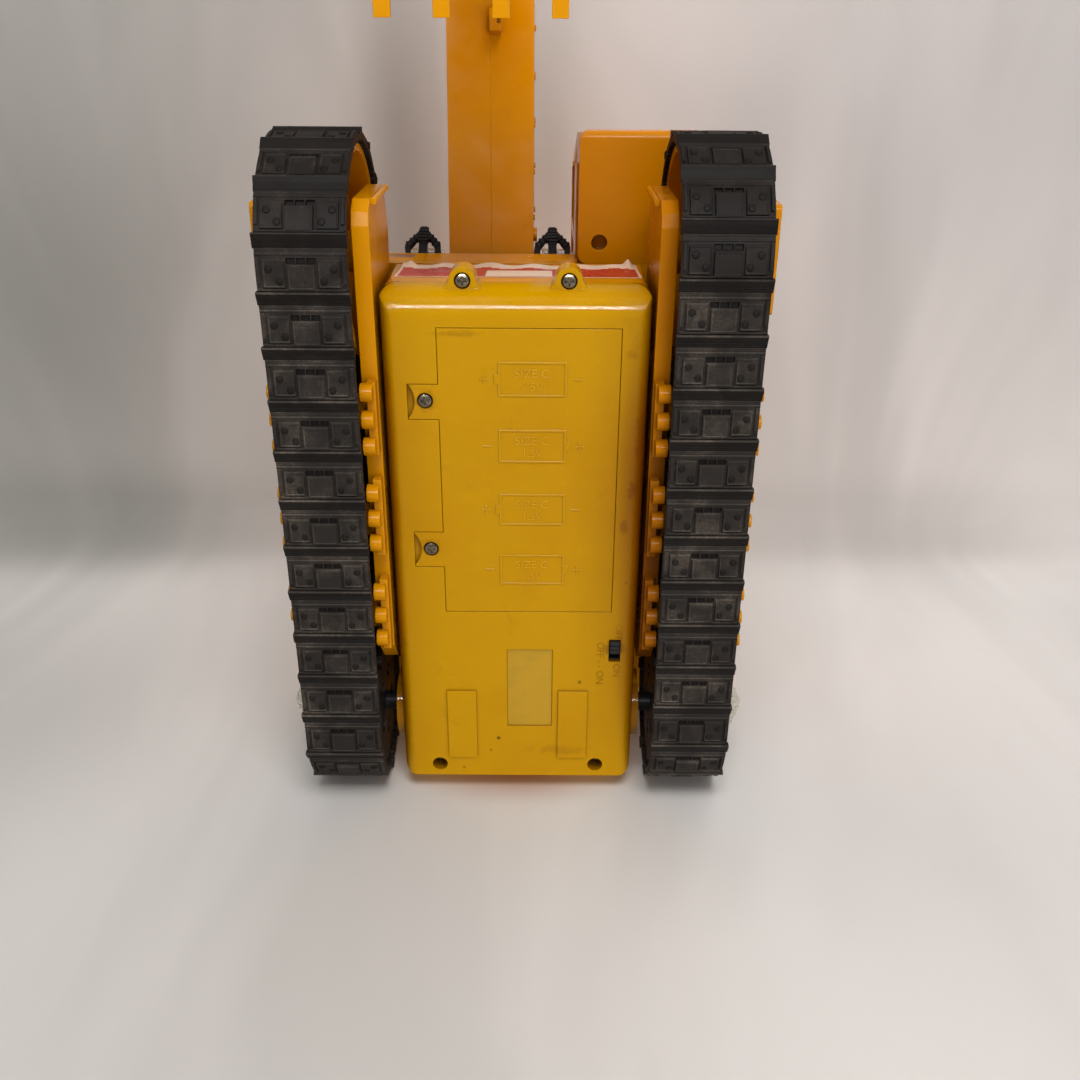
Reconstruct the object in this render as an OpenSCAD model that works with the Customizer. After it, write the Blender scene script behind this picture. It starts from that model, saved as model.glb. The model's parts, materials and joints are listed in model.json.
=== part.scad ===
// Tracked toy excavator, battery driven: chassis, two rubber tracks, slewing
// house with cab, two-piece boom, stick, bucket and one stick cylinder.
// Working frame: X to the toy's left, Y to its rear, slew axis at X = Y = 0,
// height 0 at the chassis floor. place() moves it so that the ground is Z = 0.

/* [Chassis] */
// Width of the chassis box
chassis_w = 105; // [102:0.5:107]
// Chassis front face, ahead of the slew axis
chassis_front = 105; // [100:0.5:107]
// Chassis rear face, behind the slew axis
chassis_rear = 123; // [120:0.5:125]
// Height of the chassis box
chassis_h = 60; // [57:0.5:62]
// Height of the seam between tub and top
seam_h = 14; // [13:0.5:15]
// Wall of the chassis mouldings
wall = 2.5; // [2:0.1:3]
// Radius of the tub's front lower edge
nose_r = 11; // [8:0.5:12]
// Radius of the turntable on the chassis
ring_r = 38; // [34:0.5:42]
// Radius of the slew spigot
spigot_r = 10; // [8:0.5:12]

/* [Batteries] */
// Length of one battery cell
cell_l = 50; // [48:0.5:51]
// Diameter of one battery cell
cell_d = 26.2; // [25:0.1:26.5]
// Number of battery cells
cell_n = 4; // [3:1:4]
// Distance between neighbouring cells
cell_pitch = 28; // [27.6:0.1:28.2]
// Thickness of the battery door
door_t = 2; // [1.6:0.1:2.2]

/* [Tracks] */
// Width of each rubber track
track_w = 33.5; // [30:0.5:36]
// Thickness of the rubber belt
belt_t = 3; // [2.4:0.1:3.4]
// Height of the tread bars
lug_h = 2.5; // [2:0.1:3]
// Number of shoes on each track
shoe_n = 32; // [30:1:34]
// Front wheel centre ahead of the slew axis
idler_s = 113; // [110:0.5:114]
// Tread radius of the front wheel's turn, at the shoes' face
idler_turn_r = 44.5; // [43:0.5:45.5]
// Drive axle behind the slew axis
drive_s = 94.5; // [93:0.5:96]
// Drive axle above the chassis floor
drive_h = 20; // [19:0.25:21]
// Tread radius of the drive turn, at the shoes' face
drive_turn_r = 33.5; // [33:0.25:34.5]
// Thickness of the track frame
frame_t = 6.5; // [5.5:0.25:7.5]
// Gap between chassis side and track frame
frame_gap = 1.5; // [1:0.25:2]

/* [Drive train] */
// Gear module
gear_m = 1; // [0.95:0.05:1]
// Teeth of the final gear on the drive axle
final_teeth = 32; // [30:1:33]
// Teeth of the compound gear's wheel
wheel_teeth = 30; // [28:1:31]
// Teeth of both pinions
pinion_teeth = 10; // [10:1:11]
// Diameter of the drive axle
axle_d = 6; // [5:0.25:6.5]
// Diameter of the countershaft
shaft_d = 3; // [2.5:0.25:4]
// Diameter of the motor can
motor_d = 24.2; // [22:0.2:24.4]
// Length of the motor can
motor_l = 30.5; // [28:0.5:32]

/* [House] */
// Width of the house
house_w = 160; // [156:1:164]
// House front face ahead of the slew axis
house_front = 98; // [96:0.5:100]
// House rear face behind the slew axis
house_rear = 130.5; // [130.5:0.5:134]
// Gap between chassis top and house floor
house_gap = 22; // [20:0.5:24]
// Height of the deck
deck_h = 22; // [20:0.5:24]
// Height of the engine hood above the deck
hood_h = 52; // [44:1:56]
// Width of the cab
cab_w = 54; // [50:1:56]
// Height of the cab
cab_h = 98; // [90:1:102]
// Cab front face ahead of the slew axis
cab_front = 154; // [150:1:156]
// Length of the cab
cab_l = 90; // [84:1:94]
// Wall of the cab and house shells
shell_t = 2.2; // [1.8:0.1:2.6]

/* [Arm] */
// Boom centre to the toy's right of the slew axis
boom_off = 13.8; // [12.5:0.1:14.5]
// Width of the boom
boom_w = 39.5; // [36:0.5:40]
// Boom pivot ahead of the slew axis
foot_s = 70; // [68:0.5:72]
// Half depth of the boom at its foot
foot_r = 20.5; // [19:0.5:21]
// Stick pivot ahead of the slew axis
elbow_s = 300; // [290:1:306]
// Half depth of the boom at its tip
tip_r = 13; // [12:0.5:14]
// Width of the stick
stick_w = 24; // [20:0.5:26]
// Radius of the stick's knuckle
knuckle_r = 22; // [20:0.5:23]
// Distance between the stick's two pivots
stick_l = 94; // [90:1:96]
// Diameter of the arm's pivot pins
pin_d = 6; // [5:0.25:6.5]
// Width of the bucket
bucket_w = 64.4; // [60:0.2:66]
// Wall of the bucket
bucket_t = 3; // [2.4:0.1:3.4]
// Number of bucket teeth
tooth_n = 4; // [3:1:5]
// Width of a bucket tooth
tooth_w = 5.6; // [4.5:0.1:6]

/* [Hidden] */

$fn = 48;
seat = 0.02;              // clearance of a pressed or seated piece
run = 0.05;               // radial clearance of a shaft in its bearing
air = 0.3;                // least gap between moving pieces
wheel_air = 0.45;         // gap between a wheel's rim and the belt's inner facets
touch = 0.01;             // overlap that makes two shapes one solid

yellow = [0.93, 0.66, 0.02];
black = [0.09, 0.09, 0.10];
steel = [0.70, 0.71, 0.72];
grey = [0.62, 0.63, 0.62];
clear = [0.75, 0.78, 0.78, 0.6];
red = [0.72, 0.10, 0.08];
brass = [0.78, 0.62, 0.30];

// Track layout
lug_out = idler_turn_r + lug_h;
ground_h = drive_h - drive_turn_r - lug_h;
ride_h = -ground_h;
idler_h = drive_h - drive_turn_r + idler_turn_r;
idler_c = [-idler_s, idler_h];
drive_c = [drive_s, drive_h];
half_w = chassis_w / 2;
frame_in = half_w + frame_gap;
track_in = frame_in + frame_t;
track_out = track_in + track_w;
track_mid = track_in + track_w / 2;
panel_in = track_out - 0.8;
panel_out = track_out + 2;
block_out = track_out + 6;
hub_out = track_out + 11;
wheel_in = track_in + 1.7;
wheel_out = track_out - 1.7;
cap_in = wheel_out - 4.6;
cap_out = panel_in - 0.45;
idler_r = idler_turn_r - belt_t - wheel_air;
sprocket_r = drive_turn_r - belt_t - wheel_air;
guide_h = 5;
guide_w = 6;

// Chassis layout
door_x = [-30.8, 41.2];
door_s = [-90.4, 34.8];
tab_x = -43;
tab_s = [[-67.9, -53], [-3.5, 13.1]];
door_screw_x = -36;
door_screw_s = [-60.9, 4.5];
door_ledge = 3;
ear_x = 20.5;
ear_s = -chassis_front - 2;
ear_r = 5.25;
front_r = 5;
front_draft = 3;
lower_r = 5.5;
ear_top = 16;
rear_screw_x = 36.1;
rear_screw_s = chassis_rear - 6.4;
screw_head_r = 3;
screw_shank_r = 1.4;
switch_x = half_w - 9.3;
switch_s = 54.4;
switch_slot = [5.1, 11.3];
knob_s = switch_s - 5;
cell_x = 6.5;
cell_h = door_t + 1.1 + cell_d / 2;
cell_s0 = -70;
box_end_gap = 3;
box_wall = 2;
boss_r = 15.5;
boss_out = 3.2;

// Drive train layout
backlash = 0.28;
final_x = [24, 30];
wheel_x = [32, 37];
plate_x = [20, 41];
plate_t = 2;
mesh_1 = (final_teeth + pinion_teeth) * gear_m / 2;
mesh_2 = (wheel_teeth + pinion_teeth) * gear_m / 2;
mesh_1_a = 142.5;
mesh_2_a = 187;
counter_c = drive_c + mesh_1 * [cos(mesh_1_a), sin(mesh_1_a)];
motor_c = counter_c + mesh_2 * [cos(mesh_2_a), sin(mesh_2_a)];
motor_shaft_r = 1;

// House layout
floor_h = chassis_h + house_gap;
deck_top = floor_h + deck_h;
hood_top = deck_top + hood_h;
base_t = 6;
tread_top = chassis_h + house_gap - air;
spigot_end = chassis_h - wall - air;
washer_t = 1.5;
cab_base = floor_h + base_t + 2;
house_half = house_w / 2;
cab_out = house_half;
cab_in = house_half - cab_w;
cab_rear = cab_l - cab_front;
cab_top = floor_h + cab_h;
locker_x = -43.7;
locker_rear = -30;
hood_front = -22;
weight_front = 98;

// Arm layout
boom_x = -boom_off;
boom_t = 2.4;
foot_c = [-foot_s, deck_top + 20.6];
knee_c = [-205, 150];
elbow_c = [-elbow_s, 128];
knee_r = 21;
slot_r = knuckle_r + 2.5;
fork_x = stick_w / 2 + 0.4;
stick_a = -66.2;
stick_dir = [cos(stick_a), sin(stick_a)];
bucket_c = elbow_c + stick_l * stick_dir;
lever_r = 20;
lever_a = 140;
lever_c = elbow_c + lever_r * [cos(lever_a), sin(lever_a)];
barrel_c = knee_c + [-5, knee_r + 10];
cyl_v = lever_c - barrel_c;
cyl_l = norm(cyl_v);
cyl_a = atan2(cyl_v[1], cyl_v[0]);
lever_t = 4;
cheek_t = 3;
cyl_r = 5;
rod_r = 2.6;

// Forward reach of the stick's knuckle, and the shift to the middle of the length
front_reach = elbow_s + knuckle_r;
axis_y = (front_reach - house_rear) / 2;

// ---------- helpers ----------

function arc(c, r, a0, a1, n) = [for (i = [0:n]) c + r * [cos(a0 + (a1 - a0) * i / n),
                                                           sin(a0 + (a1 - a0) * i / n)]];
function round_box(x0, y0, x1, y1, r, n = 5) = concat(
    arc([x0 + r, y0 + r], r, 180, 270, n), arc([x1 - r, y0 + r], r, 270, 360, n),
    arc([x1 - r, y1 - r], r, 0, 90, n), arc([x0 + r, y1 - r], r, 90, 180, n));

// Range of d on both sides of c
function span(c, d) = [c - d, c + d];

module place() {
    translate([0, axis_y, ride_h]) children();
}
// A side outline in (Y, height) drawn from X = x0 to x1
module side(x0, x1) {
    translate([x0, 0, 0]) rotate([90, 0, 90]) linear_extrude(x1 - x0) children();
}
// A plan outline in (X, Y) drawn from height h0 to h1
module plan(h0, h1) {
    translate([0, 0, h0]) linear_extrude(h1 - h0) children();
}
// A front outline in (X, height) drawn from Y = s0 to s1
module front(s0, s1) {
    translate([0, s1, 0]) rotate([90, 0, 0]) linear_extrude(s1 - s0) children();
}
module box(x, s, h) {
    translate([x[0], s[0], h[0]]) cube([x[1] - x[0], s[1] - s[0], h[1] - h[0]]);
}
module rod_x(x, c, r) {
    translate([x[0], c[0], c[1]]) rotate([0, 90, 0]) cylinder(r = r, h = x[1] - x[0]);
}
module rod_z(p, r, h) {
    translate([p[0], p[1], h[0]]) cylinder(r = r, h = h[1] - h[0]);
}
module left_right(side_sign) {
    if (side_sign > 0) children();
    else mirror([1, 0, 0]) children();
}
// Capsule outline between two circles
function capsule(c0, r0, c1, r1, n = 10) =
    let (v = c1 - c0, a = atan2(v[1], v[0]), t = acos((r0 - r1) / norm(v)))
    concat(arc(c0, r0, a + t, a + 360 - t, 2 * n), arc(c1, r1, a - t, a + t, n));

// Involute gear outline with a tooth centred on angle 0
pressure = 25;
function inv(t) = tan(t) * 180 / PI - t;
function gear_flank(teeth, r, side_sign) =
    let (pr = teeth * gear_m / 2, br = pr * cos(pressure),
         half = 90 / teeth - backlash / 2 / pr * 90 / PI,
         a = r > br ? half + inv(pressure) - inv(acos(br / r)) : half + inv(pressure))
    r * [cos(side_sign * a), sin(side_sign * a)];
function gear_points(teeth) =
    let (pr = teeth * gear_m / 2, tip = pr + 0.8 * gear_m, root = pr - 1.05 * gear_m,
         radii = [root, max(root + 0.05, pr * cos(pressure) + 0.01), pr - 0.3 * gear_m, pr,
                  pr + 0.4 * gear_m, tip],
         n = len(radii) - 1)
    [for (k = [0:teeth - 1])
        each [for (j = [0:2 * n + 1])
            let (p = j <= n ? gear_flank(teeth, radii[j], -1)
                            : gear_flank(teeth, radii[2 * n + 1 - j], 1),
                 a = 360 * k / teeth)
            [p[0] * cos(a) - p[1] * sin(a), p[0] * sin(a) + p[1] * cos(a)]]];
// Gear about c from x[0] to x[1] with a tooth at angle a
module gear(teeth, c, x, a) {
    side(x[0], x[1]) translate(c) rotate(a) polygon(gear_points(teeth));
}

// ---------- chassis ----------

module chassis_plan(inset = 0) {
    polygon(concat(
        arc([-half_w + front_r, -chassis_front + front_r], front_r - inset, 180, 270, 6),
        arc([half_w - front_r, -chassis_front + front_r], front_r - inset, 270, 360, 6),
        arc([half_w - 5, chassis_rear - 5], 5 - inset, 0, 90, 4),
        arc([-half_w + 5, chassis_rear - 5], 5 - inset, 90, 180, 4)));
}
// Side view of the tub with its rounded nose
module tub_side(inset = 0) {
    polygon(concat([[chassis_rear - inset, seam_h + touch], [chassis_rear - inset, inset]],
        arc([-chassis_front + nose_r, nose_r], nose_r - inset, 270, 180, 14),
        [[-chassis_front + inset, seam_h + touch]]));
}
// Front view of the tub with its rounded lower edges
module tub_front(inset = 0) {
    polygon(concat([[half_w - inset, seam_h + touch]],
        arc([half_w - lower_r, lower_r], lower_r - inset, 360, 270, 8),
        arc([-half_w + lower_r, lower_r], lower_r - inset, 270, 180, 8),
        [[-half_w + inset, seam_h + touch]]));
}
// Plan of a screw ear that flares into the nose
module ear_plan() {
    for (x = [-ear_x, ear_x]) translate([x, ear_s]) polygon(concat(
        arc([0, 0], ear_r, 180, 360, 16),
        [[ear_r + 0.1, 1.4], [ear_r + 0.6, 3.2], [ear_r + 1.9, 6.5]],
        [[-ear_r - 1.9, 6.5], [-ear_r - 0.6, 3.2], [-ear_r - 0.1, 1.4]]));
}
// Side view of the top, its front face leaning back
module top_side(inset = 0) {
    polygon([[-chassis_front + inset, seam_h - 2], [-chassis_front + inset, seam_h],
             [-chassis_front + front_draft + inset, chassis_h], [chassis_rear, chassis_h],
             [chassis_rear, seam_h - 2]]);
}
module tub_screw_places() {
    for (x = [-rear_screw_x, rear_screw_x]) translate([x, rear_screw_s, 0]) children();
}
module chassis_tub() {
    color(yellow) place() difference() {
        union() {
            difference() {
                intersection() {
                    plan(0, seam_h) chassis_plan();
                    side(-half_w, half_w) tub_side();
                    front(-chassis_front, chassis_rear) tub_front();
                }
                intersection() {
                    plan(wall, seam_h + 1) chassis_plan(wall);
                    side(-half_w, half_w) tub_side(wall);
                    front(-chassis_front, chassis_rear) tub_front(wall);
                }
            }
            // screw ears on the nose, bell-shaped at the root
            plan(6, seam_h) ear_plan();
            tub_screw_places() cylinder(r = 5, h = seam_h);
            // lower part of the axle bosses
            for (x = [-1, 1]) intersection() {
                rod_x([min(x * (half_w - wall), x * (half_w + boss_out)),
                       max(x * (half_w - wall), x * (half_w + boss_out))], drive_c, boss_r);
                box([-half_w - 9, half_w + 9], [0, chassis_rear], [2, seam_h]);
            }
            // raised pads
            for (x = [-1, 1]) box([min(x * 18.5, x * 31.7), max(x * 18.5, x * 31.7)],
                                  [75.5, 112.3], [-0.8, touch]);
            // ledge frame round the battery opening and posts under the tabs
            box([door_x[0] - 2, door_x[1] + 2], [door_s[0] - 2, door_s[1] + 2],
                [wall - touch, door_t + 2]);
            for (s = door_screw_s) rod_z([door_screw_x, s], 4.2, [wall - touch, seam_h - 2]);
        }
        // recess for the door and its tabs, then the battery opening
        box(door_x, door_s, [-1, door_t + seat]);
        for (t = tab_s) box([tab_x, door_x[0] + 1], t, [-1, door_t + seat]);
        box(door_x + door_ledge * [1, -1], door_s + door_ledge * [1, -1], [-1, seam_h + 1]);
        for (s = door_screw_s) rod_z([door_screw_x, s], screw_shank_r + seat, [-1, seam_h - 4]);
        // screw holes: heads sit in wells from below
        for (x = [-ear_x, ear_x]) {
            rod_z([x, ear_s], screw_head_r + 0.2, [5, 8]);
            rod_z([x, ear_s], screw_shank_r + seat, [5, seam_h + 1]);
        }
        for (x = [-rear_screw_x, rear_screw_x]) {
            rod_z([x, rear_screw_s], 3.5, [-1, seam_h - 5]);
            rod_z([x, rear_screw_s], screw_shank_r + seat, [-1, seam_h + 1]);
        }
        // slot of the slide switch and the plain label recess
        box(span(switch_x, switch_slot[0] / 2), span(switch_s, switch_slot[1] / 2),
            [-1, wall + 1]);
        box([-4.5, 15.8], [54, 95], [-1, 0.7]);
    }
}
module chassis_top() {
    color(yellow) place() difference() {
        union() {
            difference() {
                intersection() {
                    plan(seam_h, chassis_h) chassis_plan();
                    side(-half_w, half_w) top_side();
                }
                intersection() {
                    plan(seam_h - 1, chassis_h - wall) chassis_plan(wall);
                    side(-half_w, half_w) top_side(wall);
                }
            }
            plan(seam_h, ear_top) ear_plan();
            tub_screw_places() translate([0, 0, seam_h]) cylinder(r = 5, h = chassis_h - seam_h - 1);
            for (x = [-1, 1]) intersection() {
                rod_x([min(x * (half_w - wall), x * (half_w + boss_out)),
                       max(x * (half_w - wall), x * (half_w + boss_out))], drive_c, boss_r);
                box([-half_w - 9, half_w + 9], [0, chassis_rear], [seam_h, chassis_h]);
            }
            // turntable, and stiffening bands on the sides
            rod_z([0, 0], ring_r, [chassis_h - touch, tread_top]);
            rod_z([0, 0], ring_r + 4, [chassis_h - touch, chassis_h + 3]);
            for (x = [-1, 1]) for (s = [-78, -40, -2, 36])
                box(span(x * (half_w + 0.15), 0.65), [s, s + 3], [chassis_h - 18, chassis_h - 4]);
        }
        // inside of the turntable, round the central tube
        difference() {
            rod_z([0, 0], ring_r - wall, [chassis_h - wall - 1, tread_top - wall]);
            rod_z([0, 0], spigot_r + 3, [chassis_h - wall - 2, tread_top]);
        }
        rod_z([0, 0], spigot_r, [chassis_h - wall - 2, tread_top + 1]);
        for (x = [-ear_x, ear_x]) rod_z([x, ear_s], screw_shank_r + seat, [seam_h - 1, ear_top - 1.5]);
        tub_screw_places() translate([0, 0, seam_h - 1]) cylinder(r = screw_shank_r + seat, h = 12);
        rod_x([-half_w - 9, half_w + 9], drive_c, axle_d / 2 + run);
    }
}
module battery_door() {
    g = 0.25;
    color(yellow) place() difference() {
        union() {
            box(door_x + g * [1, -1], door_s + g * [1, -1], [0, door_t]);
            for (t = tab_s) box([tab_x + g, door_x[0] + 1], t + g * [1, -1], [0, door_t]);
            // rim inside the opening, and ribs between the cells
            difference() {
                box(door_x + (door_ledge + g) * [1, -1], door_s + (door_ledge + g) * [1, -1],
                    [door_t - touch, door_t + 2]);
                box(door_x + (door_ledge + g + 1.5) * [1, -1],
                    door_s + (door_ledge + g + 1.5) * [1, -1], [door_t - 1, door_t + 3]);
            }
            cell_marks();
        }
        for (s = door_screw_s) {
            rod_z([door_screw_x, s], screw_head_r + 0.25, [-1, 1]);
            rod_z([door_screw_x, s], screw_shank_r + seat, [-1, door_t + 1]);
            // hollow edge of the tab, a grip for the thumb
            rod_z([tab_x - 8.1, s], 11, [-1, door_t + 1]);
        }
    }
}
// Raised battery marks: outline, positive nub and the two signs
module cell_marks() {
    h = [-0.3, touch];
    for (i = [0:cell_n - 1]) {
        s = cell_s0 + i * cell_pitch;
        d = i % 2 == 0 ? -1 : 1;
        difference() {
            box(span(cell_x, 13.5), span(s, 7), h);
            box(span(cell_x, 12.8), span(s, 6.3), [-2, 1]);
        }
        box(span(cell_x + d * 14.2, 0.9), span(s, 2), h);
        box(span(cell_x + d * 19, 1.8), span(s, 0.35), h);
        box(span(cell_x + d * 19, 0.35), span(s, 1.8), h);
        box(span(cell_x - d * 18, 1.8), span(s, 0.35), h);
    }
}
// Cross-head screw pointing up from p, its head's face at height h
module screw_up(p, h, l, head = 2) {
    translate([p[0], p[1], h]) difference() {
        union() {
            cylinder(r1 = screw_head_r - 0.5, r2 = screw_head_r, h = 0.7);
            translate([0, 0, 0.7 - touch]) cylinder(r = screw_head_r, h = head - 0.7 + touch);
            translate([0, 0, head - touch]) cylinder(r = screw_shank_r, h = l);
        }
        for (a = [0, 90]) rotate(a) translate([-1.7, -0.4, -1]) cube([3.4, 0.8, 1.9]);
    }
}
module chassis_screws() {
    color(steel) place() {
        for (x = [-ear_x, ear_x]) screw_up([x, ear_s], 6 , ear_top - 10);
        for (x = [-rear_screw_x, rear_screw_x]) screw_up([x, rear_screw_s], seam_h - 7, 12);
        for (s = door_screw_s) screw_up([door_screw_x, s], 0.2, seam_h - 6, 0.8);
        // screws through the track frames into the side panels' posts
        for (m = [-1, 1]) left_right(m) for (p = post_places)
            translate([frame_in + 2, p[0], p[1]]) rotate([0, 90, 0])
                screw_up([0, 0], -1.9, frame_t + 6, 1.9);
    }
}
module battery_box() {
    x0 = cell_x - cell_l / 2 - box_end_gap;
    x1 = cell_x + cell_l / 2 + box_end_gap;
    r = cell_d / 2 + 0.5;
    s0 = cell_s0 - r - box_wall;
    s1 = cell_s0 + (cell_n - 1) * cell_pitch + r + box_wall;
    color(black) place() difference() {
        box([x0 - box_wall, x1 + box_wall], [s0, s1], [door_t + 2 + seat, cell_h + r + box_wall]);
        for (i = [0:cell_n - 1]) {
            s = cell_s0 + i * cell_pitch;
            rod_x([x0, x1], [s, cell_h], r);
            box([x0, x1], [s - r, s + r], [-1, cell_h]);
        }
        // lighter top: pockets between the cradles
        for (i = [0:cell_n - 2]) for (x = [x0 + 8, cell_x + 4])
            box([x, x + 16], span(cell_s0 + (i + 0.5) * cell_pitch, 3),
                [cell_h + 8, cell_h + r + 5]);
    }
}
module battery_cells() {
    color(grey) place() for (i = [0:cell_n - 1]) {
        s = cell_s0 + i * cell_pitch;
        d = i % 2 == 0 ? -1 : 1;
        translate([cell_x, s, cell_h]) rotate([0, d * 90, 0]) rotate_extrude()
            polygon([[0, -cell_l / 2], [cell_d / 2 - 1, -cell_l / 2],
                     [cell_d / 2, -cell_l / 2 + 1], [cell_d / 2, cell_l / 2 - 3],
                     [cell_d / 2 - 1, cell_l / 2 - 2], [3.3, cell_l / 2 - 1.8],
                     [3.3, cell_l / 2], [0, cell_l / 2]]);
    }
}
module cell_contacts() {
    x0 = cell_x - cell_l / 2 - box_end_gap;
    x1 = cell_x + cell_l / 2 + box_end_gap;
    color(brass) place() for (i = [0:cell_n - 1]) {
        s = cell_s0 + i * cell_pitch;
        d = i % 2 == 0 ? -1 : 1;
        plus_x = d > 0 ? x1 : x0;
        minus_x = d > 0 ? x0 : x1;
        // flat plate with a dimple at the positive end
        box([min(plus_x, plus_x - d * 0.5), max(plus_x, plus_x - d * 0.5)],
            span(s, 6), span(cell_h, 7));
        rod_x([min(plus_x - d * 2.9, plus_x - d * 0.4), max(plus_x - d * 2.9, plus_x - d * 0.4)],
              [s, cell_h], 2.5);
        // cone spring at the negative end, as a stepped stack of turns
        for (k = [0:2])
            rod_x([min(minus_x + d * k * 0.95, minus_x + d * (k + 1) * 0.95 + d * touch),
                   max(minus_x + d * k * 0.95, minus_x + d * (k + 1) * 0.95 + d * touch)],
                  [s, cell_h], 7 - 1.7 * k);
    }
}
module switch_body() {
    color(black) place() difference() {
        box(span(switch_x, 4), span(switch_s, 10), [wall + seat, wall + 8]);
        box(span(switch_x, 2.4), span(switch_s, 5.4), [0, wall + 4]);
    }
}
module switch_knob() {
    color(black) place() {
        box(span(switch_x, 2.1), [knob_s, knob_s + 6], [-1.2, wall + 3.4]);
        for (k = [0:2]) box(span(switch_x, 2.1), [knob_s + 0.6 + 2 * k, knob_s + 1.4 + 2 * k], [-1.8, -1]);
    }
}
module motor_can() {
    flat = motor_d / 2 - 2.2;
    color(steel) place() difference() {
        intersection() {
            union() {
                rod_x([plate_x[0] - motor_l, plate_x[0]], motor_c, motor_d / 2);
                rod_x([plate_x[0] - motor_l - 2, plate_x[0] - motor_l + touch], motor_c, 4);
            }
            translate([0, motor_c[0], motor_c[1]]) box([-60, 60], [-flat - 2.2, flat + 2.2],
                                                       [-flat, flat]);
        }
        rod_x([plate_x[0] - motor_l + 2, plate_x[0] + 1], motor_c, motor_shaft_r + run);
    }
}
module plate_outline(long) {
    front_s = long ? motor_c[0] - 10 : spacer_places[0][0] - 3;
    front_h = long ? motor_c[1] + 11 : counter_c[1] + 8;
    polygon([[front_s, wall + seat], [drive_c[0] + 16, wall + seat],
             [drive_c[0] + 18, drive_c[1] + 22], [drive_c[0] + 12, drive_c[1] + 25],
             [counter_c[0] - 4, counter_c[1] + 13], [front_s, front_h]]);
}
spacer_places = [[drive_s - 25.5, 9], [drive_s + 13.5, drive_h + 20]];
module gearbox_plates() {
    color(grey) place() difference() {
        for (x = plate_x) side(x, x + plate_t) plate_outline(x == plate_x[0]);
        rod_x([0, 60], drive_c, axle_d / 2 + run);
        rod_x([0, 60], counter_c, shaft_d / 2 + run);
        rod_x([0, 60], motor_c, 2.5);
    }
}
module gearbox_spacers() {
    color(steel) place() for (p = spacer_places)
        rod_x([plate_x[0] + plate_t, plate_x[1]], p, 2);
}

// ---------- tracks ----------

// Loop geometry: lower run, front turn, upper run, rear turn
loop_v = idler_c - drive_c;
loop_tilt = asin((idler_turn_r - drive_turn_r) / norm(loop_v));
loop_run = norm(loop_v) * cos(loop_tilt);
loop_low_a = -90;
loop_up_a = 90 - 2 * loop_tilt;
front_arc = (360 - (loop_up_a - loop_low_a)) * PI / 180 * idler_turn_r;
rear_arc = (loop_up_a - loop_low_a) * PI / 180 * drive_turn_r;
loop_len = 2 * loop_run + front_arc + rear_arc;
// Point at distance u along the shoes' face and height o above it
function loop_pt(u, o) =
    let (w = u - floor(u / loop_len) * loop_len)
    w < loop_run
        ? drive_c + (drive_turn_r + o) * [0, -1] + w * [-1, 0]
    : w < loop_run + front_arc
        ? let (a = loop_low_a - (w - loop_run) / idler_turn_r * 180 / PI)
          idler_c + (idler_turn_r + o) * [cos(a), sin(a)]
    : w < 2 * loop_run + front_arc
        ? let (n = [cos(loop_up_a), sin(loop_up_a)], t = [n[1], -n[0]])
          idler_c + (idler_turn_r + o) * n + (w - loop_run - front_arc) * t
    : let (a = loop_up_a - (w - 2 * loop_run - front_arc) / drive_turn_r * 180 / PI)
      drive_c + (drive_turn_r + o) * [cos(a), sin(a)];
// Closed outline that repeats the steps [share of pitch, height] on each shoe
function tread(steps) = [for (k = [0:shoe_n - 1]) each [for (p = steps)
    loop_pt((k + p[0]) * loop_len / shoe_n, p[1])]];
bar_steps = [[0, -1], [0.05, -1], [0.10, lug_h], [0.22, lug_h], [0.28, 0.3], [0.62, 0.3],
             [0.94, 0], [0.97, -1]];
panel_steps = [[0, -1.5], [0.30, -1.5], [0.32, 0.9], [0.55, 0.9], [0.78, 0.9], [0.80, -1.5]];
block_steps = [[0, -1.5], [0.20, -1.5], [0.22, 1.7], [0.45, 1.7], [0.70, 1.7], [0.72, -1.5]];
guide_steps = [[0, 1], [0.28, 1], [0.38, -guide_h], [0.62, -guide_h], [0.72, 1]];
function lowered(steps) = [for (p = steps) [p[0], p[1] - belt_t]];
inner_steps = [[0, -belt_t], [0.25, -belt_t], [0.5, -belt_t], [0.75, -belt_t]];

module belt_ring(x, steps, inner) {
    side(x[0], x[1]) difference() {
        polygon(tread(steps));
        polygon(tread(inner));
    }
}
module track_body() {
    belt_ring([track_in, track_out], bar_steps, inner_steps);
    for (x = [4.2, 21.8]) belt_ring([track_in + x, track_in + x + 7.5], panel_steps,
                                    [for (p = inner_steps) [p[0], -2]]);
    belt_ring([track_mid - 4.5, track_mid + 4.5], block_steps, [for (p = inner_steps) [p[0], -2]]);
    // guide teeth on the inside, in the wheels' groove
    belt_ring([track_mid - guide_w / 2, track_mid + guide_w / 2], [for (p = inner_steps) [p[0], -2]],
              lowered(guide_steps));
}
module track_left() {
    color(black) place() track_body();
}
module track_right() {
    color(black) place() mirror([1, 0, 0]) track_body();
}

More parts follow.
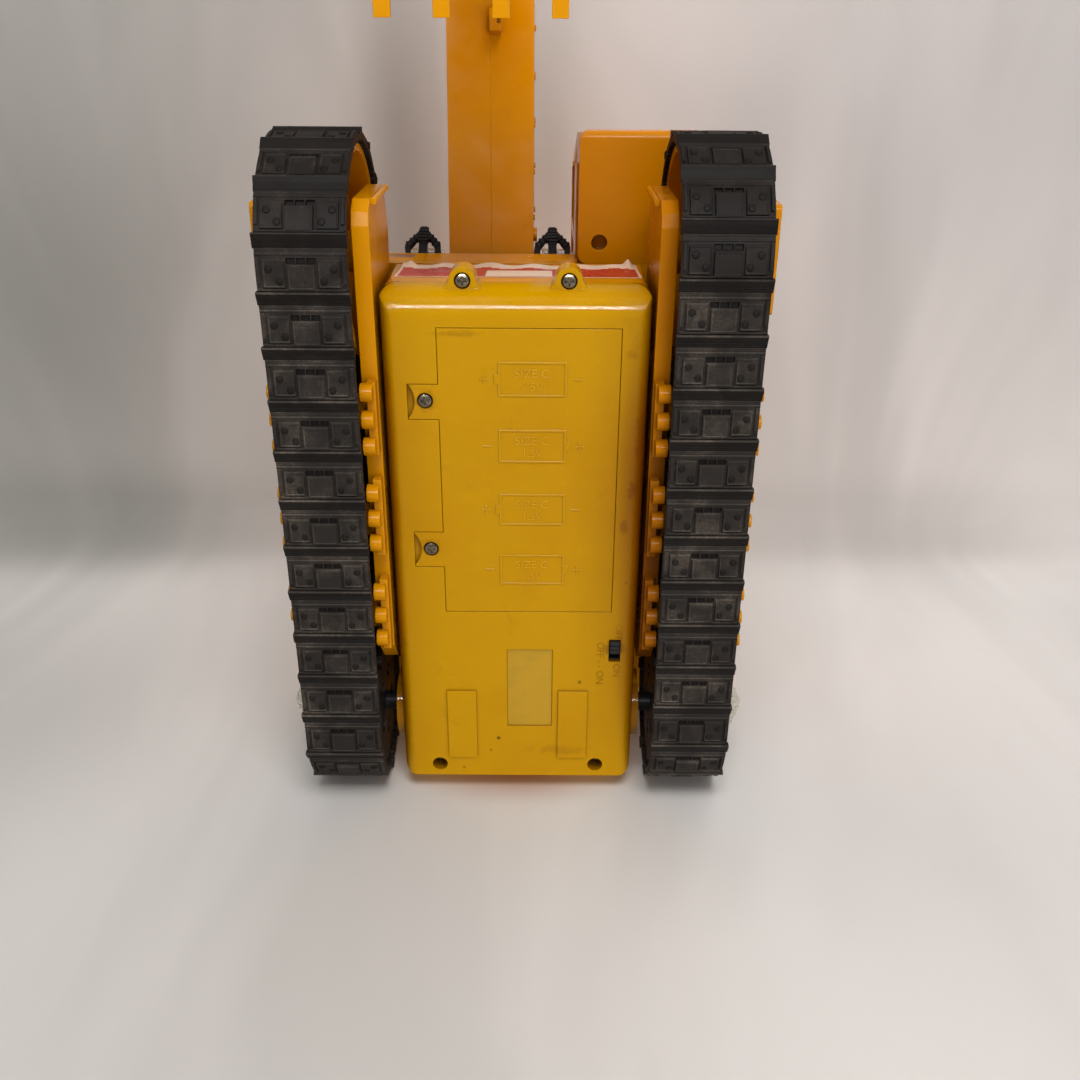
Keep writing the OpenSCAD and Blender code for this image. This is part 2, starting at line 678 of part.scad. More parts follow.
frame_front = -137;
frame_rear = 64;
post_places = [[-50, 20], [0, 20], [45, 18]];
roller_groups = [[-69.7, -39.8], [-29, 5], [16.8, 50.5]];
bearer_places = [[-70, 26], [-20, 26], [40, 24]];
roller_h = -5;
function roller_places(g) = [for (k = [-1:1]) (g[0] + g[1]) / 2 + k * 11.2];
module frame_outline(inset = 0) {
    i = inset;
    polygon([[frame_front + i, 7 + i / 2], [frame_front + 4 + i / 2, 1.5 + i / 2],
             [frame_front + 9, i], [frame_rear - 12 - i / 2, i], [frame_rear - i, 11],
             [frame_rear - i, 24 - i / 2], [frame_rear - 12 - i / 2, 36 - i],
             [-62, 47 - i], [-120 + i / 3, 51 - i], [frame_front + 3 + i, 45 - i / 2]]);
}
module track_frame_body() {
    difference() {
        union() {
            difference() {
                side(frame_in, track_in) frame_outline();
                side(frame_in + 2.5, track_in + 1) frame_outline(2.5);
            }
            // webs, bosses and the bearers against the chassis
            for (s = [-95, -75, -25, 20]) box([frame_in, track_in - 1], [s, s + 2], [1, 36]);
            rod_x([frame_in, track_in], idler_c, 9);
            for (p = post_places) rod_x([frame_in, track_in], p, 6);
            for (p = bearer_places) rod_x([half_w + seat, track_in], p, 5);
            // groups of roller ends below the frame
            for (g = roller_groups) {
                box([frame_in + 0.5, track_in - 2.5], g, [-5, 2]);
                for (c = roller_places(g)) rod_x([frame_in + 1.5, track_in - 0.2], [c, roller_h], 3.7);
            }
            // plate across the front end with a bead on its inner edge
            box([frame_in - 1, track_in], [frame_front, frame_front + 2.2], [7.5, 44]);
            rod_z([frame_in - 1, frame_front + 1.1], 1.4, [7.5, 44]);
        }
        rod_x([frame_in + 1, track_in + 1], idler_c, axle_d / 2 + seat);
        for (p = post_places) {
            rod_x([frame_in - 1, frame_in + 2], p, screw_head_r + 0.3);
            rod_x([frame_in - 1, track_in + 1], p, screw_shank_r + seat);
        }
    }
}
module track_frame_left() {
    color(yellow) place() track_frame_body();
}
module track_frame_right() {
    color(yellow) place() mirror([1, 0, 0]) track_frame_body();
}
module panel_outline(inset = 0) {
    i = inset;
    polygon([[-84 + i, 8 + i / 2], [-78 + i / 2, 4 + i], [54 - i / 2, 4 + i], [65 - i, 11],
             [69 - i, 34 - i / 2], [60 - i / 2, 47 - i], [-74 + i / 2, 61 - i],
             [-85 + i, 52 - i / 2]]);
}
block_s = [-135, -93];
block_h = [10, 50];
step_s = [-66, -22, 18];
step_h = [22, 30];
module side_panel_body() {
    difference() {
        union() {
            side(panel_in, panel_out) panel_outline();
            for (p = post_places) rod_x([track_in + seat, panel_in + 1], p, 7);
            for (p = post_places) box([track_mid, panel_in + 1], [p[0] - 1, p[0] + 1], [0, 40]);
            for (s = [-45, 25]) rod_x([panel_out - 2, panel_out + 1.2], [s, 46], 5.5);
            // bearing block of the front wheel and its arm
            side(panel_in, block_out) polygon(round_box(block_s[0], block_h[0], block_s[1],
                                                        block_h[1], 2));
            box([panel_in, panel_out], [block_s[1] - 1, -80], [14, 46]);
            // roller ends on short skirts
            for (g = roller_groups) {
                box([panel_in, panel_out - 1], g + [-1, 1], [roller_h, 6]);
                for (c = roller_places(g)) rod_x([panel_in + 0.3, panel_out + 0.4], [c, roller_h], 2.9);
            }
        }
        // sunk field with an upright rib between the step openings
        difference() {
            side(panel_out - 1.4, panel_out + 0.5) panel_outline(5);
            for (s = [-30, 10]) box([panel_out - 3, panel_out + 2], [s - 2, s + 2], [0, 60]);
            for (s = [-45, 25]) rod_x([panel_out - 3, panel_out + 2], [s, 46], 7.5);
        }
        for (s = step_s) box([panel_in - 1, panel_out + 2], [s, s + 24], step_h);
        for (p = post_places) rod_x([track_in - 1, track_in + 10], p, screw_shank_r + seat);
        rod_x([panel_in - 1, panel_in + 3 + seat], idler_c, axle_d / 2 + seat);
        // sunk face of the bearing block
        side(block_out - 1, block_out + 1) polygon(round_box(
            block_s[0] + 5, block_h[0] + 5, block_s[1] - 5, block_h[1] - 5, 3));
    }
}
module side_panel_left() {
    color(yellow) place() side_panel_body();
}
module side_panel_right() {
    color(yellow) place() mirror([1, 0, 0]) side_panel_body();
}
module idler_axles() {
    color(steel) place() for (m = [-1, 1]) left_right(m)
        rod_x([frame_in + 1 + seat, panel_in + 3], idler_c, axle_d / 2);
}
// Wheel section: rims on both sides of the guide groove, thin web and hub
module wheel_section(r, bore) {
    groove = r - guide_h - 0.6;
    g = guide_w / 2 + 0.7;
    mid = (wheel_in + wheel_out) / 2;
    polygon([[bore, wheel_in - 1], [bore + 5, wheel_in - 1], [bore + 5, mid - 2],
             [groove - 3, mid - 2], [groove - 3, mid - g - 2], [r - 3, mid - g - 2],
             [r - 3, wheel_in], [r, wheel_in], [r, mid - g], [groove, mid - g],
             [groove, mid + g], [r, mid + g], [r, wheel_out], [r - 3, wheel_out],
             [r - 3, mid + g + 2], [groove - 3, mid + g + 2], [groove - 3, mid + 2],
             [bore + 5, mid + 2], [bore + 5, cap_in], [bore, cap_in]]);
}
module wheel_place(c) {
    translate([0, c[0], c[1]]) rotate([0, 90, 0]) children();
}
module idler_wheel_body() {
    difference() {
        wheel_place(idler_c) rotate_extrude() wheel_section(idler_r, axle_d / 2 + run);
        for (k = [0:5]) rod_x([wheel_in - 2, wheel_out + 2],
                              idler_c + 20 * [cos(60 * k + 30), sin(60 * k + 30)], 6);
    }
}
module idler_wheel_left() {
    color(yellow) place() idler_wheel_body();
}
module idler_wheel_right() {
    color(yellow) place() mirror([1, 0, 0]) idler_wheel_body();
}
module idler_hub_body() {
    difference() {
        union() {
            wheel_place(idler_c) rotate_extrude() polygon([
                [0, cap_in + seat], [14, cap_in + seat], [14, cap_in + 2], [12.5, cap_out - 1],
                [9, cap_out - 1], [8, cap_out], [0, cap_out]]);
            for (k = [0:5]) rod_x([cap_in + 1, cap_out - 0.5],
                                  idler_c + 11 * [cos(60 * k), sin(60 * k)], 1.6);
        }
        rod_x([cap_in - 1, panel_in], idler_c, axle_d / 2 + run);
    }
}
module idler_hub_left() {
    color(yellow) place() idler_hub_body();
}
module idler_hub_right() {
    color(yellow) place() mirror([1, 0, 0]) idler_hub_body();
}

// ---------- drive ----------

module drive_axle() {
    color(steel) place() rod_x([-hub_out + 7, hub_out - 7], drive_c, axle_d / 2);
}
sprocket_teeth = 16;
module sprocket_body() {
    difference() {
        union() {
            wheel_place(drive_c) rotate_extrude() sprocket_section();
            rod_x([half_w + boss_out + 0.6, wheel_in + 1], drive_c, 4.4);
        }
        // scalloped teeth round the rims, and lightening holes
        for (k = [0:sprocket_teeth - 1])
            rod_x([wheel_in - 1, wheel_out + 1], drive_c + (sprocket_r + 1) *
                  [cos(k * 360 / sprocket_teeth), sin(k * 360 / sprocket_teeth)], 3.6);
        for (k = [0:4]) rod_x([wheel_in - 1, wheel_out + 1],
                              drive_c + 14.5 * [cos(72 * k), sin(72 * k)], 3.6);
        rod_x([half_w, wheel_out + 9], drive_c, axle_d / 2 + seat);
    }
}
module sprocket_section() {
    groove = sprocket_r - guide_h - 0.6;
    g = guide_w / 2 + 0.7;
    polygon([[0, wheel_in], [sprocket_r, wheel_in], [sprocket_r, track_mid - g],
             [groove, track_mid - g], [groove, track_mid + g], [sprocket_r, track_mid + g],
             [sprocket_r, wheel_out], [0, wheel_out]]);
}
module sprocket_left() {
    color(black) place() sprocket_body();
}
module sprocket_right() {
    color(black) place() mirror([1, 0, 0]) sprocket_body();
}
// Translucent domed caps with bolt lobes
module drive_hubs() {
    color(clear) place() for (m = [-1, 1]) left_right(m) difference() {
        union() {
            wheel_place(drive_c) rotate_extrude() polygon(concat(
                [[0, wheel_out + seat], [15, wheel_out + seat], [15, wheel_out + 2.5],
                 [11, wheel_out + 3.5]],
                [for (k = [0:6]) [11 * cos(15 * k),
                                  wheel_out + 4 + (hub_out - wheel_out - 4) * sin(15 * k)]]));
            for (k = [0:5]) rod_x([wheel_out + 1, wheel_out + 6],
                                  drive_c + 12 * [cos(60 * k), sin(60 * k)], 2.4);
        }
        rod_x([wheel_out - 1, hub_out - 6.5], drive_c, axle_d / 2 + seat);
    }
}
module final_gear() {
    color(grey) place() difference() {
        union() {
            gear(final_teeth, drive_c, final_x, mesh_1_a);
            rod_x([final_x[0] - 1.5, final_x[1] + 1.5], drive_c, 6);
        }
        rod_x([0, 60], drive_c, axle_d / 2 + seat);
        for (k = [0:4]) rod_x([0, 60], drive_c + 10 * [cos(72 * k), sin(72 * k)], 2.6);
    }
}
module counter_shaft() {
    color(steel) place() rod_x([plate_x[0] - 1, plate_x[1] + plate_t + 1], counter_c, shaft_d / 2);
}
// The pinion's gap faces the final gear, the wheel's tooth faces the motor pinion
module compound_gear() {
    color(grey) place() difference() {
        union() {
            gear(pinion_teeth, counter_c, [plate_x[0] + plate_t + air, wheel_x[0] + 1],
                 mesh_1_a + 180 + 180 / pinion_teeth);
            gear(wheel_teeth, counter_c, wheel_x, mesh_2_a);
        }
        rod_x([0, 60], counter_c, shaft_d / 2 + seat);
    }
}
module motor_shaft() {
    color(steel) place() rod_x([plate_x[0] - motor_l + 2 + air, plate_x[1] - 1], motor_c, motor_shaft_r);
}
module motor_pinion() {
    color(brass) place() difference() {
        gear(pinion_teeth, motor_c, [wheel_x[0] - 0.5, wheel_x[1] + 0.5],
             mesh_2_a + 180 + 180 / pinion_teeth);
        rod_x([0, 60], motor_c, motor_shaft_r + seat);
    }
}

// ---------- house ----------

module deck_plan(inset = 0, notch = true) {
    r = 34;
    polygon(concat(
        [[-house_half + inset, -house_front + inset]],
        notch ? [[cab_in - seat - inset, -house_front + inset],
                 [cab_in - seat - inset, cab_rear + seat + inset],
                 [house_half - inset, cab_rear + seat + inset]]
              : [[house_half - inset, -house_front + inset]],
        arc([house_half - r, weight_front - r], r - inset, 0, 60, 5),
        [[house_half - r, weight_front - inset], [-house_half + r, weight_front - inset]],
        arc([-house_half + r, weight_front - r], r - inset, 120, 180, 5)));
}
module deck_base() {
    color(yellow) place() difference() {
        union() {
            plan(floor_h, floor_h + base_t) deck_plan(0, false);
            rod_z([0, 0], spigot_r - run, [spigot_end, floor_h + touch]);
        }
        // screw core of the spigot, and stiffening pockets from above
        rod_z([0, 0], 2 + seat, [0, floor_h + base_t - 2]);
        for (x = [-66, -22, 22]) for (s = [-18, 12, 42])
            if (abs(x + 20) > 25 || s > 20 || s < -30)
                box([x, x + 40 < house_half ? x + 36 : x + 30], [s, s + 24],
                    [floor_h + 2.5, floor_h + base_t + 1]);
    }
}
well_x = [-boom_off - boom_w / 2 - 0.5, -boom_off + boom_w / 2 + 0.5];
ear_t = 4;
module deck_shell() {
    h0 = floor_h + base_t;
    lip = 3;
    color(yellow) place() difference() {
        union() {
            plan(h0 + seat, deck_top) difference() {
                deck_plan();
                // room for the tool locker
                translate([-house_half - 1, -house_front - 1])
                    square([locker_x + house_half + 1.2, house_front + locker_rear + 1.2]);
            }
            // boom brackets beside the well
            for (x = [well_x[0] - ear_t, well_x[1]])
                side(x, x + ear_t) polygon(concat(
                    [[-foot_s - 20, deck_top - 4], [-foot_s + 26, deck_top - 4]],
                    arc(foot_c, 11, 20, 160, 8)));
            for (x = [-38, -30, -22])
                rod_z([x, -house_front + 5.4], 1.5, [deck_top - touch, deck_top + 2]);
        }
        // hollow from below, leaving the boom well's walls
        difference() {
            plan(h0 - 1, deck_top - shell_t) deck_plan(shell_t);
            box(well_x + 3 * [-1, 1], [-house_front - 1, -foot_s + 30], [0, deck_top + 1]);
            box([-house_half, locker_x + 2.5], [-house_front - 1, locker_rear + 2.5], [0, deck_top + 1]);
        }
        box(well_x, [-house_front + lip, -foot_s + 26], [h0 + 8, deck_top + 60]);
        rod_x([-60, 60], foot_c, pin_d / 2 + seat);
    }
}
module tool_locker() {
    x = [-house_half, locker_x];
    color(yellow) place() difference() {
        union() {
            box(x, [-house_front, locker_rear], [floor_h + base_t + seat, deck_top]);
            box([x[0] + 8, x[0] + 26], [-60, -48], [deck_top - touch, deck_top + 3]);
            rod_z([x[0] + 6, -house_front + 6], 2, [deck_top - touch, deck_top + 2.5]);
        }
        // panel lines on the lid and a sunk field on the front face
        box([x[0] + 3, x[1] - 3], [-house_front + 12, -house_front + 12.6], [deck_top - 0.6, deck_top + 1]);
        box([x[0] + 18, x[1] - 5], [-house_front - 1, -house_front + 0.4],
            [deck_top - 9.5, deck_top - 1.2]);
        box(x + 2.5 * [1, -1], [-house_front + 2.5, locker_rear - 2.5], [floor_h, deck_top - 2.5]);
    }
}
module hood_front_outline(inset = 0) {
    i = inset;
    w = house_half - 1;
    polygon([[-w + i, deck_top - 1], [-w + i, hood_top - 12 - i / 2], [-w + 12 + i / 2, hood_top - i],
             [w - 12 - i / 2, hood_top - i], [w - i, hood_top - 12 - i / 2], [w - i, deck_top - 1]]);
}
module engine_hood() {
    s = [hood_front, weight_front];
    color(yellow) place() difference() {
        union() {
            intersection() {
                difference() {
                    front(s[0], s[1]) hood_front_outline();
                    front(s[0] + shell_t, s[1] - shell_t) hood_front_outline(shell_t);
                }
                box([-house_w, house_w], s + [-1, 1], [deck_top + seat, hood_top + 1]);
            }
            // raised lids and exhaust base on the top
            box([-58, -8], [8, 86], [hood_top - touch, hood_top + 3]);
            box([8, 50], [30, 86], [hood_top - touch, hood_top + 2]);
            rod_z([34, 12], 9, [hood_top - touch, hood_top + 4]);
        }
        // side louvres and the rear grille's slots
        for (k = [0:6]) for (x = [-house_half, house_half - 5])
            box([x, x + 5], [12 + 10 * k, 17 + 10 * k], [deck_top + 12, hood_top - 18]);
        for (k = [0:8]) box([-54, -12], [12 + 8 * k, 15.5 + 8 * k], [hood_top - 5, hood_top + 5]);
        rod_z([34, 12], 4 + seat, [hood_top - 5, hood_top + 5]);
    }
}
module weight_plan(inset = 0) {
    i = inset;
    polygon(concat(
        [[-house_half + i, weight_front + i]], [[house_half - i, weight_front + i]],
        arc([house_half - 26, house_rear - 26], 26 - i, 0, 90, 6),
        arc([-house_half + 26, house_rear - 26], 26 - i, 90, 180, 6)));
}
module counterweight() {
    color(yellow) place() difference() {
        union() {
            plan(floor_h, deck_top + 34) weight_plan();
            plan(deck_top + 34 - touch, deck_top + 38) weight_plan(3);
        }
        plan(floor_h + 3, deck_top + 31) weight_plan(3);
        // sunk lines and the two lamp hollows on the rear face
        for (h = [deck_top - 8, deck_top + 24])
            box([-60, 60], [house_rear - 0.8, house_rear + 1], [h, h + 1.2]);
        for (x = [-50, 38]) box([x, x + 12], [house_rear - 1.5, house_rear + 1],
                                [deck_top + 5, deck_top + 15]);
    }
}
module cab_floor() {
    x = [cab_in, cab_out];
    color(yellow) place() difference() {
        union() {
            intersection() {
                plan(floor_h, cab_base)
                    polygon(round_box(x[0], -cab_front, x[1], -house_front - seat, 4, 6));
                side(x[0], x[1]) polygon(concat(
                    arc([-cab_front + 3, floor_h + 3], 3, 270, 180, 6),
                    [[-cab_front, cab_base], [-house_front, cab_base], [-house_front, floor_h]]));
            }
            box(x, [-cab_front + 8, cab_rear], [floor_h + base_t + seat, cab_base]);
            box([x[0] + 8, x[1] - 8], [-cab_front + 58, cab_rear - 6],
                [cab_base - touch, cab_base + 4]);
        }
        rod_z([cab_in + 9.4, -107.3], 3.55, [floor_h - 1, cab_base - 1]);
    }
}
// Cab side in (Y, height): leaning windscreen, flat roof
module cab_side(inset = 0) {
    i = inset;
    h = cab_base;
    polygon([[-cab_front + 0.8 + i, h - i], [-cab_front + 4.5 + i, h + 34],
             [-cab_front + 20 + i, cab_top - 3 - i], [-cab_front + 24 + i, cab_top - i],
             [cab_rear - 3 - i, cab_top - i], [cab_rear - i, cab_top - 3 - i], [cab_rear - i, h - i]]);
}
module window_shapes() {
    // windscreen and front quarter, door window, rear window
    side_h = [floor_h + 40, cab_top - 12];
    front_x = [cab_in + 6, cab_out - 6];
    box(front_x, [-cab_front - 5, -cab_front + 30], side_h);
    box(front_x, [cab_rear - 8, cab_rear + 5], side_h + [6, 0]);
    side(cab_in - 5, cab_out + 5) polygon([
        [-cab_front + 10.5, floor_h + 42], [-cab_front + 25, cab_top - 12],
        [-cab_front + 50, cab_top - 12], [-cab_front + 50, floor_h + 42]]);
    box([cab_in - 5, cab_out + 5], [-cab_front + 55, cab_rear - 7], side_h + [2, 0]);
}
// Raised door on the boom's side of the cab
module door_panel() {
    side(cab_in - 0.8, cab_in + 0.5) polygon([
        [-cab_front + 14.4, cab_base + 5], [-cab_front + 22, cab_top - 14],
        [-cab_front + 28, cab_top - 6], [cab_rear - 4, cab_top - 6], [cab_rear - 4, deck_top + 2],
        [-house_front - 1, deck_top + 2], [-house_front - 1, cab_base + 5]]);
}
module cab_shell() {
    h = cab_base;
    color(yellow) place() difference() {
        union() {
            difference() {
                union() {
                    intersection() {
                        side(cab_in, cab_out) cab_side();
                        plan(h, cab_top + 1) polygon(round_box(
                            cab_in, -cab_front + 0.8, cab_out, cab_rear, 4, 6));
                    }
                    door_panel();
                }
                side(cab_in + shell_t, cab_out - shell_t) cab_side(shell_t);
                // glazing openings
                window_shapes();
            }
            // roof rib, door hinge line and grab bar
            box([cab_in + 8, cab_out - 8], [-cab_front + 36, cab_rear - 10],
                [cab_top - touch, cab_top + 1.5]);
        }
        box([cab_in - 5, cab_out + 5], [-cab_front - 5, cab_rear + 5], [0, h + seat]);
        box([cab_out - 0.6, cab_out + 1], [-cab_front + 52, -cab_front + 52.7], [h + 3, cab_top - 6]);
    }
}
module cab_windows() {
    t = 1.2;
    color(clear) place() difference() {
        intersection() {
            side(cab_in + shell_t + seat, cab_out - shell_t - seat) cab_side(shell_t + seat);
            box([cab_in, cab_out], [-cab_front, cab_rear], [floor_h + 37, cab_top - 9]);
        }
        side(cab_in + shell_t + t, cab_out - shell_t - t) cab_side(shell_t + t);
    }
}
module cab_seat() {
    x = (cab_in + cab_out) / 2;
    s = -cab_front + 60;
    h = cab_base + 4;
    color(black) place() {
        box(span(x, 12), [s, s + 22], [h + seat, h + 12]);
        side(x - 12, x + 12) polygon([[s + 16, h + 11], [s + 22, h + 11], [s + 26, h + 42],
                                      [s + 20, h + 42]]);
        for (d = [-15, 12]) box([x + d, x + d + 3], [s + 2, s + 20], [h + seat, h + 19]);
        for (d = [-14, 11]) box([x + d, x + d + 3], [s + 8, s + 14], [h + 1, h + 8]);
    }
}
module cab_levers() {
    x = (cab_in + cab_out) / 2;
    s = -cab_front + 34;
    h = cab_base;
    color(black) place() {
        box(span(x, 14), [s, s + 10], [h + seat, h + 10]);
        for (d = [-8, 8]) {
            rod_z([x + d, s + 5], 1.2, [h + 9, h + 24]);
            translate([x + d, s + 5, h + 24]) sphere(r = 2.4);
        }
    }
}
lamp_x = [-46, 14.9];
lamp_lean = 33.7;
// Front outline of a guard: two shoulders and a knob on top
module guard_outline() {
    half = [[8.5, 4.2], [8.2, 6.8], [4, 12.6], [2.3, 15.2], [2.2, 17.2], [1.2, 18]];
    difference() {
        polygon(concat([[-7.7, 0], [7.7, 0]], half,
                       [for (k = [5:-1:0]) [-half[k][0], half[k][1]]]));
        polygon([[-5.4, -1], [5.4, -1], [5.9, 5], [3.2, 10], [0, 11], [-3.2, 10], [-5.9, 5]]);
    }
}
module lamp_guards() {
    foot_s = [-house_front + 0.5, -house_front + 3.6];
    color(black) place() for (x = lamp_x) {
        box([x - 7.7, x + 7.7], foot_s, [deck_top + seat, deck_top + 2.6]);
        // leaning arch with a ribbed centre leg
        translate([x, -house_front + 2.8, deck_top + 2]) rotate([90 + lamp_lean, 0, 0]) {
            linear_extrude(2.8) guard_outline();
            translate([-2, 0, 0.2]) cube([4, 12, 2.2]);
            for (k = [0:3]) translate([-2.3, 8.4 + 1.9 * k, 1]) cube([4.6, 0.8, 2.6]);
            for (m = [-1, 1]) for (k = [0:2])
                translate([m * (7 - 1.6 * k), 6.4 + 2.2 * k, 1]) rotate(-m * 36)
                    translate([-0.4, -2, 0]) cube([0.8, 3.4, 2.5]);
        }
    }
}
module lamp_lenses() {
    c = [-house_front + 3.5, deck_top + 9.5];
    color(clear) place() for (x = lamp_x) difference() {
        union() {
            rod_x([x - 5, x + 7], c, 4);
            rod_x([x + 6.2, x + 7.2], c, 4.6);
            rod_x([x + 7, x + 9.5], c, 3);
            box([x - 3, x + 5], [c[0] + 0.6, c[0] + 3.6], [deck_top + seat, c[1]]);
        }
        rod_x([x - 4, x + 10], c, 2);
    }
}
module exhaust_stack() {
    color(black) place() difference() {
        union() {
            rod_z([34, 12], 4, [hood_top - 1, hood_top + 14]);
            rod_z([34, 12], 5.5, [hood_top + 4 + seat, hood_top + 9]);
        }
        rod_z([34, 12], 2.6, [hood_top + 2, hood_top + 15]);
    }
}
module handrails() {
    x = -house_half + 4;
    s = [-house_front + 16, locker_rear - 12];
    rail_h = deck_top + 24;
    color(black) place() {
        for (p = s) rod_z([x, p], 1.6, [deck_top + seat, rail_h]);
        translate([x, s[0] - 4, rail_h]) rotate([-90, 0, 0])
            cylinder(r = 2, h = s[1] - s[0] + 8);
    }
}
module slew_washer() {
    h = spigot_end - seat;
    color(steel) place() difference() {
        rod_z([0, 0], spigot_r + 5, [h - washer_t, h]);
        rod_z([0, 0], 2 + seat, [h - 3, h + 3]);
    }
}
module slew_screw() {
    h = spigot_end - washer_t - seat;
    color(steel) place() translate([0, 0, h - 2.4]) difference() {
        union() {
            cylinder(r = 4.5, h = 2.4 - seat);
            cylinder(r = 2, h = floor_h - h + 5);
        }
        for (a = [0, 90]) rotate(a) translate([-2.6, -0.5, -1]) cube([5.2, 1, 2.4]);
    }
}
module boom_pin() {
    x = [well_x[0] - ear_t - 1, well_x[1] + ear_t + 1];
    color(steel) place() {
        rod_x(x, foot_c, pin_d / 2);
    }
}

// ---------- arm ----------

// Angle of the upward normal of a direction that runs forward
function up_angle(v) = atan2(-v[0], v[1]);
boom_v1 = knee_c - foot_c;
boom_v2 = elbow_c - knee_c;
boom_a1 = up_angle(boom_v1);
boom_a2 = up_angle(boom_v2);
boom_mid = (boom_a1 + boom_a2) / 2;
module boom_outline() {
    polygon(concat(
        arc(foot_c, foot_r, boom_a1 - 180, boom_a1, 14),
        arc(knee_c, knee_r, boom_a1, boom_a2, 5),
        arc(elbow_c, tip_r, boom_a2, boom_a2 + 180, 12),
        [knee_c - knee_r * [cos(boom_mid), sin(boom_mid)]]));
}
// Hollow of the boom, from past the foot boss to short of the fork
module boom_core() {
    polygon(concat(
        arc(foot_c + 0.24 * boom_v1, foot_r - boom_t, boom_a1 - 180, boom_a1, 10),
        arc(knee_c, knee_r - boom_t, boom_a1, boom_a2, 5),
        arc(knee_c + 0.5 * boom_v2, (knee_r + tip_r) / 2 - boom_t, boom_a2, boom_a2 + 180, 8),
        [knee_c - (knee_r - boom_t) * [cos(boom_mid), sin(boom_mid)]]));
}
module boom_half(x0, x1) {
    skin = x0 < boom_x - 1 ? [x0 + boom_t, x1 + 1] : [x0 - 1, x1 - boom_t];
    difference() {
        union() {
            difference() {
                side(x0, x1) boom_outline();
                side(skin[0], skin[1]) difference() {
                    boom_core();
                    for (t = [0.4, 0.75]) translate(foot_c + (knee_c - foot_c) * t)
                        square([2, 60], center = true);
                }
            }
            for (c = boom_screw_places) rod_x([x0, x1], c, 5);
            // rivet heads along the flank
            for (k = [0:5]) for (d = [-6, 6]) {
                flank = x0 < boom_x - 1 ? x0 : x1;
                c = foot_c + (knee_c - foot_c) * (0.16 + k * 0.15) + [0, d * 1.9];
                rod_x([flank - 0.6, flank + 0.6], c, 1.3);
            }
        }
        // slot for the stick, and bores of the pins
        side(boom_x - fork_x, boom_x + fork_x) polygon(concat(
            arc(elbow_c, slot_r, -90, 90, 12), [elbow_c + [-40, slot_r], elbow_c + [-40, -slot_r]]));
        rod_x([-60, 60], foot_c, pin_d / 2 + run);
        rod_x([-60, 60], elbow_c, pin_d / 2 + seat);
        rod_x([-60, 60], barrel_c, 2.02);
    }
}
module barrel_ears(sgn) {
    x = boom_x + sgn * 7;
    side(min(x, x + sgn * 3), max(x, x + sgn * 3))
        polygon(concat([barrel_c + [13, -14], barrel_c + [-12, -18]], arc(barrel_c, 5.5, 160, 20, 6)));
}
module boom_left() {
    color(yellow) place() difference() {
        union() {
            boom_half(boom_x + seat, boom_x + boom_w / 2);
            difference() {
                barrel_ears(1);
                rod_x([-60, 60], barrel_c, 2.02);
            }
            rod_x([boom_x + boom_w / 2 - 1, boom_x + boom_w / 2 + 1.6], [-104.5, deck_top + 13], 3.2);
            // small slotted lug under the boom
            difference() {
                side(boom_x + seat, boom_x + 5) polygon([[-190, 128], [-192, 119], [-198, 117],
                                                         [-201, 119], [-202, 130]]);
                box([boom_x + 3.4, boom_x + 6], [-197, -195], [110, 125]);
            }
        }
        for (c = boom_screw_places) rod_x([boom_x - 9, boom_x + 9], c, 1.2 + seat);
    }
}
boom_screw_places = [for (t = [0.2, 0.55, 0.9]) foot_c + (knee_c - foot_c) * t + [0, -4]];
module boom_right() {
    color(yellow) place() {
        difference() {
            union() {
                boom_half(boom_x - boom_w / 2, boom_x - seat);
                difference() {
                    barrel_ears(-1);
                    rod_x([-60, 60], barrel_c, 2.02);
                }
            }
            for (c = boom_screw_places) {
                rod_x([boom_x - boom_w / 2 - 1, boom_x - boom_w / 2 + 8], c, 3.2);
                rod_x([boom_x - boom_w / 2 - 1, boom_x + 1], c, 1.2 + seat);
            }
        }
    }
}
module boom_screws() {
    x = boom_x - boom_w / 2 + 6;
    color(steel) place() {
        for (c = boom_screw_places) difference() {
            union() {
                rod_x([x, x + 2 - seat], c, 3);
                rod_x([x + 1, boom_x + 8], c, 1.2);
            }
            for (a = [0, 90]) translate([x, c[0], c[1]]) rotate([a, 0, 0])
                translate([-1, -1.8, -0.4]) cube([1.9, 3.6, 0.8]);
        }
        rod_x([boom_x - 10, boom_x + 10], barrel_c, 2);
    }
}
module stick() {
    x = [boom_x - stick_w / 2, boom_x + stick_w / 2];
    color(yellow) place() difference() {
        union() {
            for (q = [x[0], x[1] - cheek_t]) rod_x([q, q + cheek_t], elbow_c, knuckle_r);
            rod_x(x, elbow_c, 8);
            side(x[0], x[1]) polygon(capsule(elbow_c + 15 * stick_dir, 14.5, bucket_c, 9.5));
            // lever plate for the cylinder
            side(boom_x - lever_t / 2, boom_x + lever_t / 2)
                polygon(capsule(elbow_c, 8, lever_c, 5));
        }
        // moulded pockets in both flanks
        for (q = [x[0] - 1, x[1] - 1]) side(q, q + 2) difference() {
            translate(elbow_c) circle(r = knuckle_r - 3);
            translate(elbow_c) circle(r = pin_d / 2 + 5);
        }
        for (q = [x[0] - 1, x[1] - 8]) side(q, q + 9)
            polygon(capsule(elbow_c + 32 * stick_dir, 9, elbow_c + (stick_l - 24) * stick_dir, 6));
        rod_x([-60, 60], elbow_c, pin_d / 2 + run);
        rod_x([-60, 60], bucket_c, pin_d / 2 + run);
    }
}
module stick_pin() {
    color(steel) place() rod_x([boom_x - boom_w / 2 - 1, boom_x + boom_w / 2 + 1], elbow_c, pin_d / 2);
}

